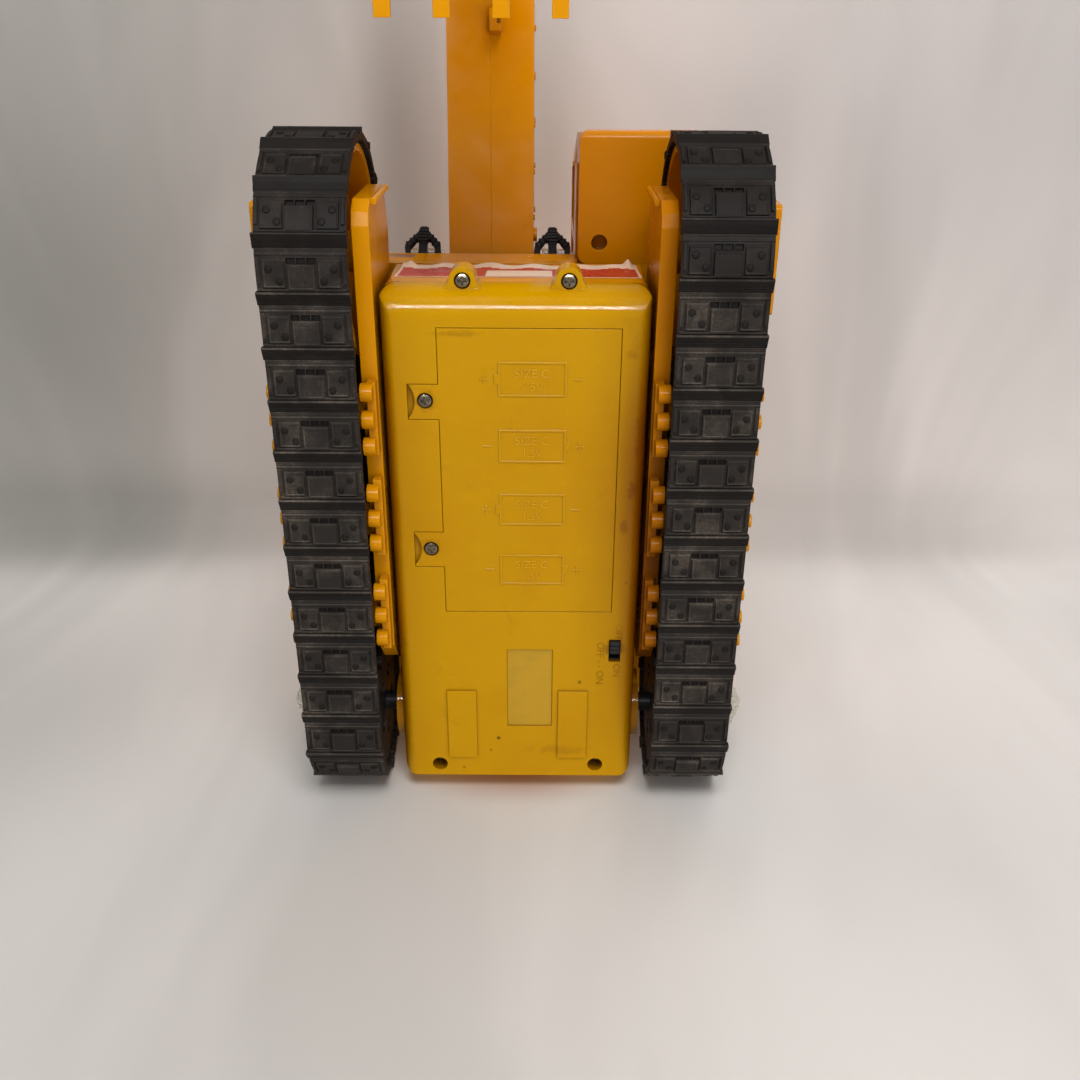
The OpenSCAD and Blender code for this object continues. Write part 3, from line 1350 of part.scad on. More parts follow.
// Bucket section: straight back under the ears, round heel, flat floor and lip
ear_gap = stick_w / 2 + 0.4;
bucket_ear_t = 4;
back_a = 201.6;
back_dir = [cos(back_a), sin(back_a)];
back_n = [-back_dir[1], back_dir[0]];
back_0 = bucket_c + 11.5 * back_n - 15 * back_dir;
back_1 = bucket_c + 11.5 * back_n + 20.5 * back_dir;
bucket_low = ground_h + 2.5;
heel_r = (back_1[1] - bucket_low) / (1 - back_n[1]);
heel_c = back_1 + heel_r * back_n;
lip_s = bucket_c[0] + 46;
function bucket_skin(inset) = concat(
    [back_0 + inset * back_n],
    arc(heel_c, heel_r - inset, back_a - 90, 270, 10),
    [[lip_s, bucket_low + inset]]);
module bucket() {
    x = [boom_x - bucket_w / 2, boom_x + bucket_w / 2];
    pitch = (bucket_w - tooth_w) / (tooth_n - 1);
    color(yellow) place() difference() {
        union() {
            difference() {
                side(x[0], x[1]) polygon(bucket_skin(0));
                side(x[0] + bucket_t, x[1] - bucket_t)
                    polygon(concat([back_0 + bucket_t * back_n - 9 * back_dir], bucket_skin(bucket_t),
                                   [[lip_s + 9, bucket_low + bucket_t]]));
            }
            // ears on the back
            for (d = [ear_gap, -ear_gap - bucket_ear_t])
                side(boom_x + d, boom_x + d + bucket_ear_t) polygon(concat(
                    capsule(bucket_c, 8.5, bucket_c + 18 * back_dir + 4 * back_n, 5)));
            for (d = [ear_gap, -ear_gap - bucket_ear_t])
                side(boom_x + d, boom_x + d + bucket_ear_t) polygon([
                    bucket_c - 8.4 * back_dir, bucket_c + 20 * back_dir,
                    bucket_c + 22 * back_dir + 13 * back_n, bucket_c - 12 * back_dir + 13 * back_n]);
            // teeth
            for (k = [0:tooth_n - 1]) side(x[0] + k * pitch, x[0] + k * pitch + tooth_w) polygon([
                [lip_s - 14, bucket_low - 0.8], [lip_s - 14, bucket_low + bucket_t + 1.4],
                [lip_s + 1, bucket_low + bucket_t + 1.4], [lip_s + 18.6, bucket_low + 1.6],
                [lip_s + 18.6, bucket_low], [lip_s, bucket_low - 0.8]]);
            // side cutters and stiffening strips on the heel
            for (q = [x[0] - 1.2, x[1] - 1.3]) side(q, q + 2.5) polygon([
                [lip_s - 12, bucket_low + 2], [lip_s, bucket_low + 2], [lip_s - 8, bucket_low + 18],
                [lip_s - 16, bucket_low + 18]]);
        }
        rod_x([-60, 60], bucket_c, pin_d / 2 + seat);
    }
}
module bucket_pin() {
    e = ear_gap + bucket_ear_t + 1;
    color(steel) place() rod_x([boom_x - e, boom_x + e], bucket_c, pin_d / 2);
}
// Cylinder drawn along +X from its eye at the origin, in the side plane
module along_cylinder(c) {
    translate([boom_x, c[0], c[1]]) rotate([cyl_a, 0, 0]) rotate([0, 0, 90]) children();
}
module cylinder_barrel() {
    l0 = 10;
    l1 = 56;
    color(black) place() along_cylinder(barrel_c) difference() {
        union() {
            rotate([90, 0, 0]) cylinder(r = 5, h = 13, center = true);
            translate([3, -4, -4]) cube([8, 8, 8]);
            translate([l0, 0, 0]) rotate([0, 90, 0]) cylinder(r = cyl_r, h = l1 - l0);
            for (p = [l0, l1 - 5]) translate([p, 0, 0]) rotate([0, 90, 0]) cylinder(r = cyl_r + 0.6, h = 5);
        }
        rotate([90, 0, 0]) cylinder(r = 2 + run, h = 40, center = true);
        translate([l0 + 4, 0, 0]) rotate([0, 90, 0]) cylinder(r = rod_r + run, h = l1);
    }
}
module cylinder_rod() {
    c = lever_t / 2 + 0.6;
    fork_l = 12;
    color(steel) place() along_cylinder(barrel_c) difference() {
        union() {
            translate([cyl_l - 60, 0, 0]) rotate([0, 90, 0]) cylinder(r = rod_r, h = 60 - fork_l);
            translate([cyl_l - fork_l - 5, -c - 2.4, -4]) cube([6, 2 * c + 4.8, 8]);
            for (d = [-c - 2.4, c]) translate([cyl_l - fork_l, d, -4]) cube([fork_l, 2.4, 8]);
            for (d = [-c - 2.4, c]) translate([cyl_l, d, 0]) rotate([-90, 0, 0]) cylinder(r = 4, h = 2.4);
        }
        translate([cyl_l - fork_l, -c, -9]) cube([fork_l + 9, 2 * c, 18]);
    }
}

chassis_tub();
chassis_top();
battery_door();
chassis_screws();
battery_box();
battery_cells();
cell_contacts();
switch_body();
switch_knob();
motor_can();
gearbox_plates();
gearbox_spacers();
track_frame_left();
track_frame_right();
side_panel_left();
side_panel_right();
track_left();
track_right();
idler_axles();
idler_wheel_left();
idler_wheel_right();
idler_hub_left();
idler_hub_right();
drive_axle();
sprocket_left();
sprocket_right();
drive_hubs();
final_gear();
counter_shaft();
compound_gear();
motor_shaft();
motor_pinion();
deck_base();
deck_shell();
tool_locker();
engine_hood();
counterweight();
cab_floor();
cab_shell();
cab_windows();
cab_seat();
cab_levers();
lamp_guards();
lamp_lenses();
exhaust_stack();
handrails();
slew_washer();
slew_screw();
boom_pin();
boom_left();
boom_right();
boom_screws();
stick();
stick_pin();
bucket();
bucket_pin();
cylinder_barrel();
cylinder_rod();
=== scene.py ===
"""Looks of a battery-driven toy tracked excavator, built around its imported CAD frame."""
import json
import math
import random

import bpy
from mathutils import Matrix, Vector
from mathutils.bvhtree import BVHTree


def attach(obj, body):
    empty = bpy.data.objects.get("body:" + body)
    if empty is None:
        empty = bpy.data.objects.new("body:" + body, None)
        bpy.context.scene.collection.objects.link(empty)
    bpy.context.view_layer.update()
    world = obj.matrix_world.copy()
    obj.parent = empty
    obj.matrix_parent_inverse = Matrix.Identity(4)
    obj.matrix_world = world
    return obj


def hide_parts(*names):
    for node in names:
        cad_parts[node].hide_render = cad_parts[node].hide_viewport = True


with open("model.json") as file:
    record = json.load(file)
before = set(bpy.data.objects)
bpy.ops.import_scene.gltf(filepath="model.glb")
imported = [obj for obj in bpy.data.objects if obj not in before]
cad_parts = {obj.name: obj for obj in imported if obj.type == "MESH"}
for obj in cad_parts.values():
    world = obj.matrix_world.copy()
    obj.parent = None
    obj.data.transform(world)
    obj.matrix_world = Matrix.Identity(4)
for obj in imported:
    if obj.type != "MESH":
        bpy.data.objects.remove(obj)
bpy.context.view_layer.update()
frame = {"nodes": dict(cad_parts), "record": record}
NODES = frame["nodes"]
MM = 0.001
AXIS_Y, RIDE_H = 95.75, 16.0  # slew axis and chassis floor in the shared frame, mm


def at(x, s, h):
    """Across, behind the slew axis and above the chassis floor (mm), in the shared frame (m)."""
    return Vector((x, s + AXIS_Y, h + RIDE_H)) * MM


# ---------------------------------------------------------------- materials

SAMPLES = 6  # of each bevel and occlusion node
EDGE_R, CORNER_R = 0.0006, 0.0034  # rounding of every edge and of the nose's corners, m


class Shader:
    """A node tree with short calls for the nodes that the materials use."""

    def __init__(self, name):
        self.mat = bpy.data.materials.new(name)
        self.mat.use_nodes = True
        self.tree = self.mat.node_tree
        self.bsdf = self.tree.nodes["Principled BSDF"]
        self.out = self.tree.nodes["Material Output"]
        self.place = self.add("ShaderNodeTexCoord").outputs["Object"]

    def add(self, kind, **sockets):
        """A new node. Sockets are named with _ for a space."""
        node = self.tree.nodes.new(kind)
        for key, value in sockets.items():
            self.put(node.inputs[key.replace("_", " ")], value)
        return node

    def put(self, socket, value):
        """Link or set one socket."""
        if isinstance(value, bpy.types.NodeSocket):
            self.tree.links.new(value, socket)
        else:
            socket.default_value = value

    def stretched(self, scale, turn):
        """The place scaled per axis and turned (radians)."""
        node = self.add("ShaderNodeMapping", Vector=self.place)
        node.inputs["Scale"].default_value = scale
        node.inputs["Rotation"].default_value = turn
        return node.outputs["Vector"]

    def noise(self, scale, detail=3.0, rough=0.55, vector=None, warp=0.0):
        """Noise of 0 to 1; scale is in cells per metre."""
        node = self.add("ShaderNodeTexNoise", Vector=vector or self.place, Scale=scale,
                        Detail=detail, Roughness=rough, Distortion=warp)
        return node.outputs["Fac"]

    def ramp(self, value, low, high, a=0.0, b=1.0):
        """a where value is below low, b where it is above high, smooth between."""
        node = self.add("ShaderNodeMapRange")
        node.interpolation_type = "SMOOTHSTEP"
        sockets = {"Value": value, "From Min": low, "From Max": high, "To Min": a, "To Max": b}
        for key, v in sockets.items():
            self.put(node.inputs[key], v)
        return node.outputs["Result"]

    def math(self, op, a, b, clamp=False):
        """One operation on two numbers."""
        node = self.add("ShaderNodeMath")
        node.operation, node.use_clamp = op, clamp
        self.put(node.inputs[0], a)
        self.put(node.inputs[1], b)
        return node.outputs[0]

    def times(self, a, b, clamp=False):
        """The product of two numbers."""
        return self.math("MULTIPLY", a, b, clamp)

    def mix(self, factor, a, b):
        """Colour a where factor is 0, b where it is 1."""
        node = self.add("ShaderNodeMix")
        node.data_type = "RGBA"
        self.put(node.inputs["Factor"], factor)
        self.put(node.inputs["A"], a)
        self.put(node.inputs["B"], b)
        return node.outputs["Result"]

    def axes(self, vector):
        """X, Y and Z of a vector."""
        return self.add("ShaderNodeSeparateXYZ", Vector=vector).outputs

    def mirrored(self):
        """The place with its X made positive, for what is the same on both sides."""
        x = self.axes(self.vector("ABSOLUTE", self.place)["Vector"])["X"]
        own = self.axes(self.place)
        return self.add("ShaderNodeCombineXYZ", X=x, Y=own["Y"], Z=own["Z"]).outputs["Vector"]

    def vector(self, op, a, b=(0, 0, 0)):
        """One operation on two vectors."""
        node = self.add("ShaderNodeVectorMath")
        node.operation = op
        self.put(node.inputs[0], a)
        self.put(node.inputs[1], b)
        return node.outputs

    def near(self, place, size, low=0.35, value=1.0, ragged=None, both=False):
        """value inside an ellipsoid at place (x, s, h) of half size (mm), 0 outside.

        It falls off from low, as a share of the half size. ragged is a texture that frays its
        edge, and with both it is the same on both sides.
        """
        start = self.mirrored() if both else self.place
        part = self.vector("SUBTRACT", start, at(*place))["Vector"]
        flat = self.vector("DIVIDE", part, Vector(size) * MM)["Vector"]
        reach = self.vector("LENGTH", flat)["Value"]
        if ragged is not None:
            reach = self.math("ADD", reach, ragged)
        return self.ramp(reach, low, 1.0, value, 0.0)

    def bumps(self, *layers, soft=None):
        """Bumps (height, strength, distance) one over the other, on edges rounded by soft (m)."""
        normal = None
        if soft is not None:
            bevel = self.add("ShaderNodeBevel", Radius=soft)
            bevel.samples = SAMPLES
            normal = bevel.outputs["Normal"]
        for height, strength, distance in layers:
            node = self.add("ShaderNodeBump", Height=height, Strength=strength, Distance=distance)
            if normal is not None:
                self.put(node.inputs["Normal"], normal)
            normal = node.outputs["Normal"]
        self.put(self.bsdf.inputs["Normal"], normal)

    def set(self, **sockets):
        """Sockets of the principled shader."""
        for key, value in sockets.items():
            self.put(self.bsdf.inputs[key.replace("_", " ")], value)


def rgb(r, g, b):
    """An sRGB colour, 0 to 255, as linear values."""
    def lin(c):
        c /= 255.0
        return c / 12.92 if c <= 0.04045 else ((c + 0.055) / 1.055) ** 2.4
    return (lin(r), lin(g), lin(b), 1.0)


def dirt_and_shade_mask(sh, reach, low=0.25, high=0.75):
    """1 in corners and gaps, 0 in the open: where grime and painted shade go."""
    node = sh.add("ShaderNodeAmbientOcclusion", Distance=reach)
    node.samples = SAMPLES
    return sh.ramp(node.outputs["AO"], low, high, 1.0, 0.0)


def worn_and_highlit_edges(sh, reach):
    """1 on sharp outer edges, 0 on flat faces."""
    node = sh.add("ShaderNodeAmbientOcclusion", Distance=reach)
    node.samples, node.inside = SAMPLES, True
    return sh.ramp(node.outputs["AO"], 0.35, 0.75, 1.0, 0.0)


def moulded(name, colour, dark, pale, rough=0.17, dirt=rgb(92, 52, 12), dirty=0.5, soft=EDGE_R,
            shine=0.14, shade=0.0, rounded=None, marked=None, stains=(), shadows=()):
    """Glossy moulded ABS: uneven tone, scuffs, specks, grime and painted shade in the corners,
    paler rubbed edges.

    dirty: how much dirt lies in blots and how far grime and painted shade darken the corners;
    shade: how far painted brown shade fills the wider hollows. rounded: the corners that CORNER_R
    rounds, marked: the field of raised marks, whose edges get a painted highlight and whose
    corners are not darkened, both as (place, size). stains (ragged) and shadows (smooth, painted
    shade): (place, size, amount, colour).
    Places and sizes are in mm.
    """
    sh = Shader(name)
    # uneven tone, blots and rare specks
    fine = sh.noise(160, 3, 0.6)
    col = sh.mix(sh.ramp(sh.noise(14, 4, 0.6), 0.38, 0.72, 0.0, 0.6), colour, dark)
    col = sh.mix(sh.ramp(fine, 0.55, 0.8, 0.0, 0.15), col, pale)
    blots = sh.times(sh.ramp(sh.noise(38, 6, 0.7, warp=0.6), 0.60, 0.74), dirty, True)
    col = sh.mix(sh.times(blots, 0.3), col, dirt)
    specks = sh.add("ShaderNodeTexVoronoi", Scale=95.0, Vector=sh.place, Randomness=1.0)
    rare = sh.ramp(sh.noise(31, 2), 0.60, 0.66)
    speck = sh.times(sh.ramp(specks.outputs["Distance"], 0.05, 0.12, 1.0, 0.0), rare)
    col = sh.mix(sh.times(speck, 0.8), col, rgb(70, 38, 14))
    # grime and painted shade in corners over a small reach, and painted brown shade over a wider
    # one
    grime_and_shade = sh.times(dirt_and_shade_mask(sh, 0.004), sh.ramp(fine, 0.3, 0.7, 0.35, 0.9))
    if marked:
        grime_and_shade = sh.times(grime_and_shade, sh.math("SUBTRACT", 1.0, sh.near(*marked, low=0.7)))
    col = sh.mix(sh.times(grime_and_shade, dirty, True), col, dirt)
    # painted brown shade in wide hollows and beside neighbouring parts
    if shade:
        col = sh.mix(sh.times(dirt_and_shade_mask(sh, 0.03, 0.35, 0.95), shade), col, rgb(96, 48, 0))
    # rubbed edges, a painted highlight on the raised marks' edges, and scuffs
    rubbed = sh.times(worn_and_highlit_edges(sh, 0.0012), sh.ramp(sh.noise(70, 4), 0.45, 0.7, 0.1, 0.55))
    col = sh.mix(rubbed, col, pale)
    # painted highlight along the raised marks' edges
    if marked:
        raised = sh.times(worn_and_highlit_edges(sh, 0.0009), sh.near(*marked, low=0.7, value=0.7))
        col = sh.mix(raised, col, rgb(228, 184, 62))
    scuff = sh.noise(60, 4, 0.7, sh.stretched((1, 9, 6), (0.3, 0.4, 0.5)))
    col = sh.mix(sh.times(sh.ramp(scuff, 0.66, 0.70), 0.18), col, pale)
    # marks that the photo shows in one place
    torn = sh.ramp(sh.noise(210, 5, 0.75), 0.25, 0.75, -0.45, 0.45)
    for place, size, amount, tint in stains:
        col = sh.mix(sh.near(place, size, value=amount, ragged=torn), col, tint)
    for place, size, amount, tint in shadows:
        col = sh.mix(sh.near(place, size, low=0.1, value=amount), col, tint)
    if rounded:
        soft = sh.times(sh.near(*rounded, low=0.8, both=True), CORNER_R)
        soft = sh.math("ADD", soft, EDGE_R)
    sh.set(Base_Color=col, IOR=1.5, Specular_IOR_Level=shine,
           Roughness=sh.ramp(sh.noise(75, 5, 0.65), 0.3, 0.75, rough - 0.04, rough + 0.12))
    sh.bumps((sh.noise(420, 2), 0.06, 0.0004), (scuff, 0.05, 0.0006),
             (sh.noise(11, 2), 0.25, 0.0015), soft=soft)
    return sh.mat


def rubber(name, base, dusty, rough, dust):
    """Moulded rubber with a film of dry dust, darker round the front turn."""
    sh = Shader(name)
    patch = sh.ramp(sh.noise(48, 6, 0.68, warp=0.4), 0.42, 0.72)
    grain = sh.ramp(sh.noise(900, 2, 0.6), 0.35, 0.75)
    powder = sh.times(sh.times(patch, sh.ramp(grain, 0.0, 1.0, 0.45, 1.0)), dust)
    col = sh.mix(powder, base, dusty)
    col = sh.mix(sh.ramp(sh.noise(17, 3), 0.45, 0.75, 0.0, 0.35), col, rgb(30, 28, 28))
    # grime and painted shade in corners and gaps
    col = sh.mix(sh.times(dirt_and_shade_mask(sh, 0.003, 0.1, 0.8), 0.6), col, rgb(22, 20, 20))
    turn = sh.ramp(sh.axes(sh.place)["Y"], (AXIS_Y - 128) * MM, (AXIS_Y - 92) * MM, 0.6, 0.0)
    col = sh.mix(turn, col, rgb(24, 21, 20))
    sh.set(Base_Color=col, Roughness=sh.ramp(patch, 0.0, 1.0, rough, rough + 0.15), IOR=1.46,
           Specular_IOR_Level=0.1)
    sh.bumps((sh.noise(1300, 2), 0.12, 0.0003), (sh.noise(150, 4), 0.25, 0.0006))
    return sh.mat


def metal(name, colour, rough, grime_and_shade=0.5):
    """Brushed metal, dull and dirty in patches."""
    sh = Shader(name)
    brushed = sh.noise(260, 3, 0.6, sh.stretched((1, 1, 14), (0, 0, 0)))
    dull = sh.ramp(sh.noise(420, 4, 0.7), 0.48, 0.7)
    col = sh.mix(sh.times(dull, grime_and_shade), colour, rgb(74, 58, 42))
    # grime and painted shade in corners and gaps
    col = sh.mix(sh.times(dirt_and_shade_mask(sh, 0.0015), grime_and_shade), col, rgb(48, 36, 26))
    sh.set(Base_Color=col, Metallic=1.0,
           Roughness=sh.ramp(brushed, 0.3, 0.7, rough - 0.08, rough + 0.12))
    sh.bumps((brushed, 0.08, 0.0004), (sh.noise(700, 3), 0.05, 0.0004))
    return sh.mat


def clear(name, colour, rough, through, cloudy):
    """Clear or smoked styrene with fine scratches and a cloudy bloom."""
    sh = Shader(name)
    hair = sh.ramp(sh.noise(90, 4, 0.7, sh.stretched((1, 12, 3), (0.7, 0.2, 0.4))), 0.62, 0.68)
    bloom = sh.ramp(sh.noise(55, 4), 0.4, 0.75)
    col = sh.mix(sh.times(bloom, 0.3), colour, cloudy)
    sh.set(Base_Color=col, Roughness=sh.ramp(hair, 0.0, 1.0, rough, rough + 0.2), IOR=1.49,
           Transmission_Weight=through)
    sh.bumps((hair, 0.06, 0.0003), (bloom, 0.08, 0.0005))
    return sh.mat


BROWN, SOOT, UMBER = rgb(104, 58, 14), rgb(58, 36, 18), rgb(104, 50, 0)
CHASSIS_SHADOWS = [
    ((54, 0, 4), (36, 170, 30), 0.42, UMBER), ((-54, 0, 4), (28, 170, 30), 0.16, UMBER),
    ((54, -28, 4), (17, 88, 16), 0.95, UMBER), ((54, 52, 4), (13, 76, 16), 0.85, UMBER),
    ((-54, -26, 4), (8, 96, 13), 0.75, UMBER), ((-54, 66, 4), (8, 60, 13), 0.6, UMBER)]
CHASSIS_STAINS = [
    ((49, -44, 4), (3.5, 16, 6), 0.6, BROWN), ((47.5, -22, 3), (2.5, 9, 5), 0.7, SOOT),
    ((45, -6, 0), (2, 4, 3), 0.5, BROWN), ((50, 20, 4), (2, 12, 4), 0.45, BROWN),
    ((-36, -60.9, 0), (5.5, 5.5, 3), 0.35, BROWN), ((-36, 4.5, 0), (5.5, 5.5, 3), 0.35, BROWN),
    ((-50, -66, 4), (2.5, 10, 5), 0.35, BROWN), ((-50, 52, 4), (2.5, 26, 5), 0.3, BROWN),
    ((43.2, 54.4, 0), (6.5, 5.5, 3), 0.45, SOOT), ((-22, -88, 0), (14, 1.6, 3), 0.3, BROWN),
    ((46, -80, 2), (4, 3, 3), 0.35, BROWN), ((20, 108, 0), (18, 3, 3), 0.25, BROWN)]
BOOM_STAINS = [
    ((-13.4, -150, 115), (0.9, 2.2, 4), 0.7, SOOT), ((-13.7, -120, 103), (0.8, 26, 6), 0.25, BROWN),
    ((-7, -143, 112), (1.2, 1.2, 4), 0.6, SOOT), ((-20, -170, 118), (1, 2, 4), 0.4, BROWN)]
NOSE_CORNERS = ((52, -104, 6), (9, 12, 14))
CELL_MARKS = ((6.5, -28, 0), (33, 72, 6))
FRAME_SHADOW = ((56, 22, 8), (14, 112, 40), 0.9, UMBER)
YELLOW = moulded("yellow_abs", rgb(216, 144, 0), rgb(204, 129, 0), rgb(232, 164, 4), shade=0.35)
# a darker, more orange copy of the yellow as painted shade for the cab
CABIN_SHADED = moulded("yellow_abs_cab_painted_shade", rgb(206, 128, 0), rgb(194, 114, 0), rgb(226, 152, 4), shade=0.3)
CHASSIS = moulded("yellow_abs_underside", rgb(192, 141, 0), rgb(182, 126, 0), rgb(212, 162, 4),
                  rough=0.1, shade=0.6, rounded=NOSE_CORNERS, marked=CELL_MARKS,
                  stains=CHASSIS_STAINS, shadows=CHASSIS_SHADOWS)
BOOM = moulded("yellow_abs_boom", rgb(216, 139, 0), rgb(204, 124, 0), rgb(232, 160, 4),
               shade=0.15, stains=BOOM_STAINS)
DECK = moulded("yellow_abs_deck", rgb(226, 150, 0), rgb(214, 136, 0), rgb(238, 170, 8),
               shine=0.05, shade=0.1)
# a darker copy of the yellow as painted shade for the track frame at +X, with a painted shadow on
# its inner side
SHADED_YELLOW = moulded("yellow_abs_painted_shade", rgb(196, 122, 0), rgb(182, 108, 0), rgb(214, 142, 4),
               shine=0.08, shade=0.5, shadows=[FRAME_SHADOW])
BLACK = moulded("black_abs", rgb(30, 30, 32), rgb(22, 22, 24), rgb(58, 57, 56), 0.38,
                rgb(84, 74, 62), 0.35)
GREY = moulded("natural_acetal", rgb(196, 195, 188), rgb(182, 180, 172), rgb(214, 213, 208), 0.42,
               rgb(110, 96, 76), 0.35)
# paler than the door: rubbed wear, and a painted highlight on the raised strokes
LIT_LETTERS = moulded("yellow_raised_marks_worn_and_lit", rgb(218, 164, 24), rgb(208, 150, 10), rgb(232, 188, 70),
                  soft=None)
RUBBER = rubber("track_rubber", rgb(42, 38, 35), rgb(92, 82, 73), 0.55, 0.8)
# lighter rubber on the rims: dust, and a painted highlight on their rises
RUBBER_RIM = rubber("track_rubber_rims", rgb(58, 53, 49), rgb(124, 113, 102), 0.62, 0.9)
# dark rubber: the clean bolts, and painted shade in the grooves and on the bars' lower slopes
RUBBER_DARK = rubber("track_rubber_bolts_and_painted_shade", rgb(27, 24, 22), rgb(56, 50, 45), 0.55, 0.6)
STEEL = metal("plated_steel", rgb(188, 184, 176), 0.3)
SCREWS = metal("dirty_screw_heads", rgb(134, 124, 108), 0.2, 0.9)
BRASS = metal("brass", rgb(206, 170, 92), 0.28, 0.3)
MOTOR = metal("motor_can_plate", rgb(198, 198, 196), 0.34, 0.25)
JACKET = moulded("cell_jacket", rgb(96, 100, 108), rgb(84, 88, 96), rgb(130, 132, 138), 0.3)
CLEAR = clear("clear_styrene", rgb(226, 228, 226), 0.08, 0.92, rgb(200, 200, 196))
HUB = clear("frosted_hub", rgb(178, 172, 154), 0.4, 0.25, rgb(206, 201, 186))

BY_SLOT = {"yellow_plastic": YELLOW, "black_plastic": BLACK, "track_rubber": RUBBER, "steel": STEEL,
           "cell_jacket": JACKET, "motor_metal": MOTOR, "brass": BRASS, "grey_plastic": GREY,
           "clear_plastic": CLEAR}
for part in frame["record"]["subparts"]:
    if part["node"] in NODES:
        mesh = NODES[part["node"]].data
        mesh.materials.clear()
        mesh.materials.append(BY_SLOT[part["material_slot"]])
BY_NODE = {"drive_hubs": HUB, "chassis_screws": SCREWS, "boom_left": BOOM, "boom_right": BOOM,
           "cab_shell": CABIN_SHADED, "cab_floor": CABIN_SHADED, "deck_shell": DECK, "tool_locker": DECK,
           "track_frame_left": SHADED_YELLOW, "chassis_tub": CHASSIS, "battery_door": CHASSIS}
for node, material in BY_NODE.items():
    NODES[node].data.materials[0] = material


# ---------------------------------------------------------------- mesh helpers

RAY_S = -140  # rays start here, in front of the chassis and the house


def placed(name, data):
    """A new object of this data in the scene."""
    obj = bpy.data.objects.new(name, data)
    bpy.context.scene.collection.objects.link(obj)
    return obj


def piece(name, verts, faces, body, materials, marks=None):
    """A mesh that rides on a body. marks: each face's number in materials."""
    mesh = bpy.data.meshes.new(name)
    mesh.from_pydata([tuple(v) for v in verts], [], faces)
    for m in materials:
        mesh.materials.append(m)
    if marks:
        mesh.polygons.foreach_set("material_index", marks)
    mesh.validate()
    mesh.update()
    obj = placed(name, mesh)
    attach(obj, body)
    return obj


def front_of(node, spare):
    """A function of (x, h) that gives s of a CAD node's front face, or spare where it has none."""
    data = NODES[node].data
    hull = BVHTree.FromPolygons([v.co.copy() for v in data.vertices],
                                [list(p.vertices) for p in data.polygons])

    def face(x, h):
        hit = hull.ray_cast(at(x, RAY_S, h), Vector((0, 1, 0)))[0]
        return hit.y / MM - AXIS_Y if hit else spare

    return face


# ---------------------------------------------------------------- tracks

# As in the CAD, in mm: each wheel's centre (s, h) and the radius of the shoes' face round it,
# the belt's inner edge from the middle, its width, thickness and number of shoes
DRIVE, DRIVE_R = (94.5, 20.0), 33.5
IDLER, IDLER_R = (-113.0, 31.0), 44.5
TRACK_IN, TRACK_W, BELT_T, SHOES = 60.5, 33.5, 3.0, 32
GUIDE_W, GUIDE_H, GUIDE_ROOT = 6.0, 5.0, -2.0
INNER_RIBS, INNER_RIB_H = 5, 0.7
WEAR, SWAY = 0.21, 0.12  # how uneven the shoes' face is, and how far that varies between shoes
FACE, CREST, DARK_AND_SHADE = 0, 1, 2  # material numbers: rubber, dusty rims with a painted highlight, dark bolts and painted shade


class Loop:
    """The closed path of the shoes' face: lower run, front turn, upper run, rear turn."""

    def __init__(self):
        v = (IDLER[0] - DRIVE[0], IDLER[1] - DRIVE[1])
        dist = math.hypot(*v)
        tilt = math.asin((IDLER_R - DRIVE_R) / dist)
        self.run = dist * math.cos(tilt)
        self.low, self.up = -math.pi / 2, math.pi / 2 - 2 * tilt
        self.front = (2 * math.pi - (self.up - self.low)) * IDLER_R
        self.length = 2 * self.run + self.front + (self.up - self.low) * DRIVE_R

    def __call__(self, u, o):
        """(s, h) at u along the loop and o outside the shoes' face."""
        w = u % self.length
        if w < self.run:
            return DRIVE[0] - w, DRIVE[1] - DRIVE_R - o
        w -= self.run
        if w < self.front:
            a = self.low - w / IDLER_R
            return IDLER[0] + (IDLER_R + o) * math.cos(a), IDLER[1] + (IDLER_R + o) * math.sin(a)
        w -= self.front
        if w < self.run:
            n = (math.cos(self.up), math.sin(self.up))
            return (IDLER[0] + (IDLER_R + o) * n[0] + w * n[1],
                    IDLER[1] + (IDLER_R + o) * n[1] - w * n[0])
        a = self.up - (w - self.run) / DRIVE_R
        return DRIVE[0] + (DRIVE_R + o) * math.cos(a), DRIVE[1] + (DRIVE_R + o) * math.sin(a)


LOOP = Loop()
PITCH = LOOP.length / SHOES

# Raised and sunk fields of one shoe: x from, x to, u from, u to (mm), height of the face there
FIELDS = [
    (0.0, 33.5, 5.1, 17.4, 0.15),
    (0.0, 33.5, 17.4, 18.2, 0.5), (0.0, 33.5, 18.2, 19.2, 0.25), (0.0, 33.5, 19.2, 20.0, 0.5),
    (0.4, 33.1, 4.7, 5.5, 1.35),
    (0.5, 1.7, 7.4, 17.2, 1.2), (31.8, 33.0, 7.4, 17.2, 1.2),
    (2.6, 10.6, 5.9, 15.9, 1.05), (22.9, 30.9, 5.9, 15.9, 1.05),
    (3.2, 10.1, 6.5, 15.3, 0.75), (23.4, 30.3, 6.5, 15.3, 0.75),
    (11.7, 21.8, 5.3, 14.0, 1.6),
    (12.4, 21.1, 6.0, 13.3, 1.35),
    (11.4, 14.5, 14.5, 16.4, -0.7), (15.2, 18.3, 14.5, 16.4, -0.7), (19.0, 22.1, 14.5, 16.4, -0.7),
]
BOLTS = [(4.9, 12.7), (8.7, 8.4), (24.8, 8.4), (28.6, 12.7)]  # x, u
BOLT_DOME = ((1.45, 0.6), (1.38, 1.0), (1.1, 1.22), (0.5, 1.32))  # radius, height
BOLT_SIDES = 12
BAR = (-0.9, 4.6)  # u from, u to of the bar between two shoes
BAR_SECTION = [(0.0, -0.4), (0.03, 0.1), (0.16, 0.55), (0.19, 0.42), (0.36, 0.95), (0.39, 0.82),
               (0.58, 1.45), (0.78, 1.95), (0.86, 2.2), (0.94, 2.2), (0.98, 1.9), (1.0, -0.4)]
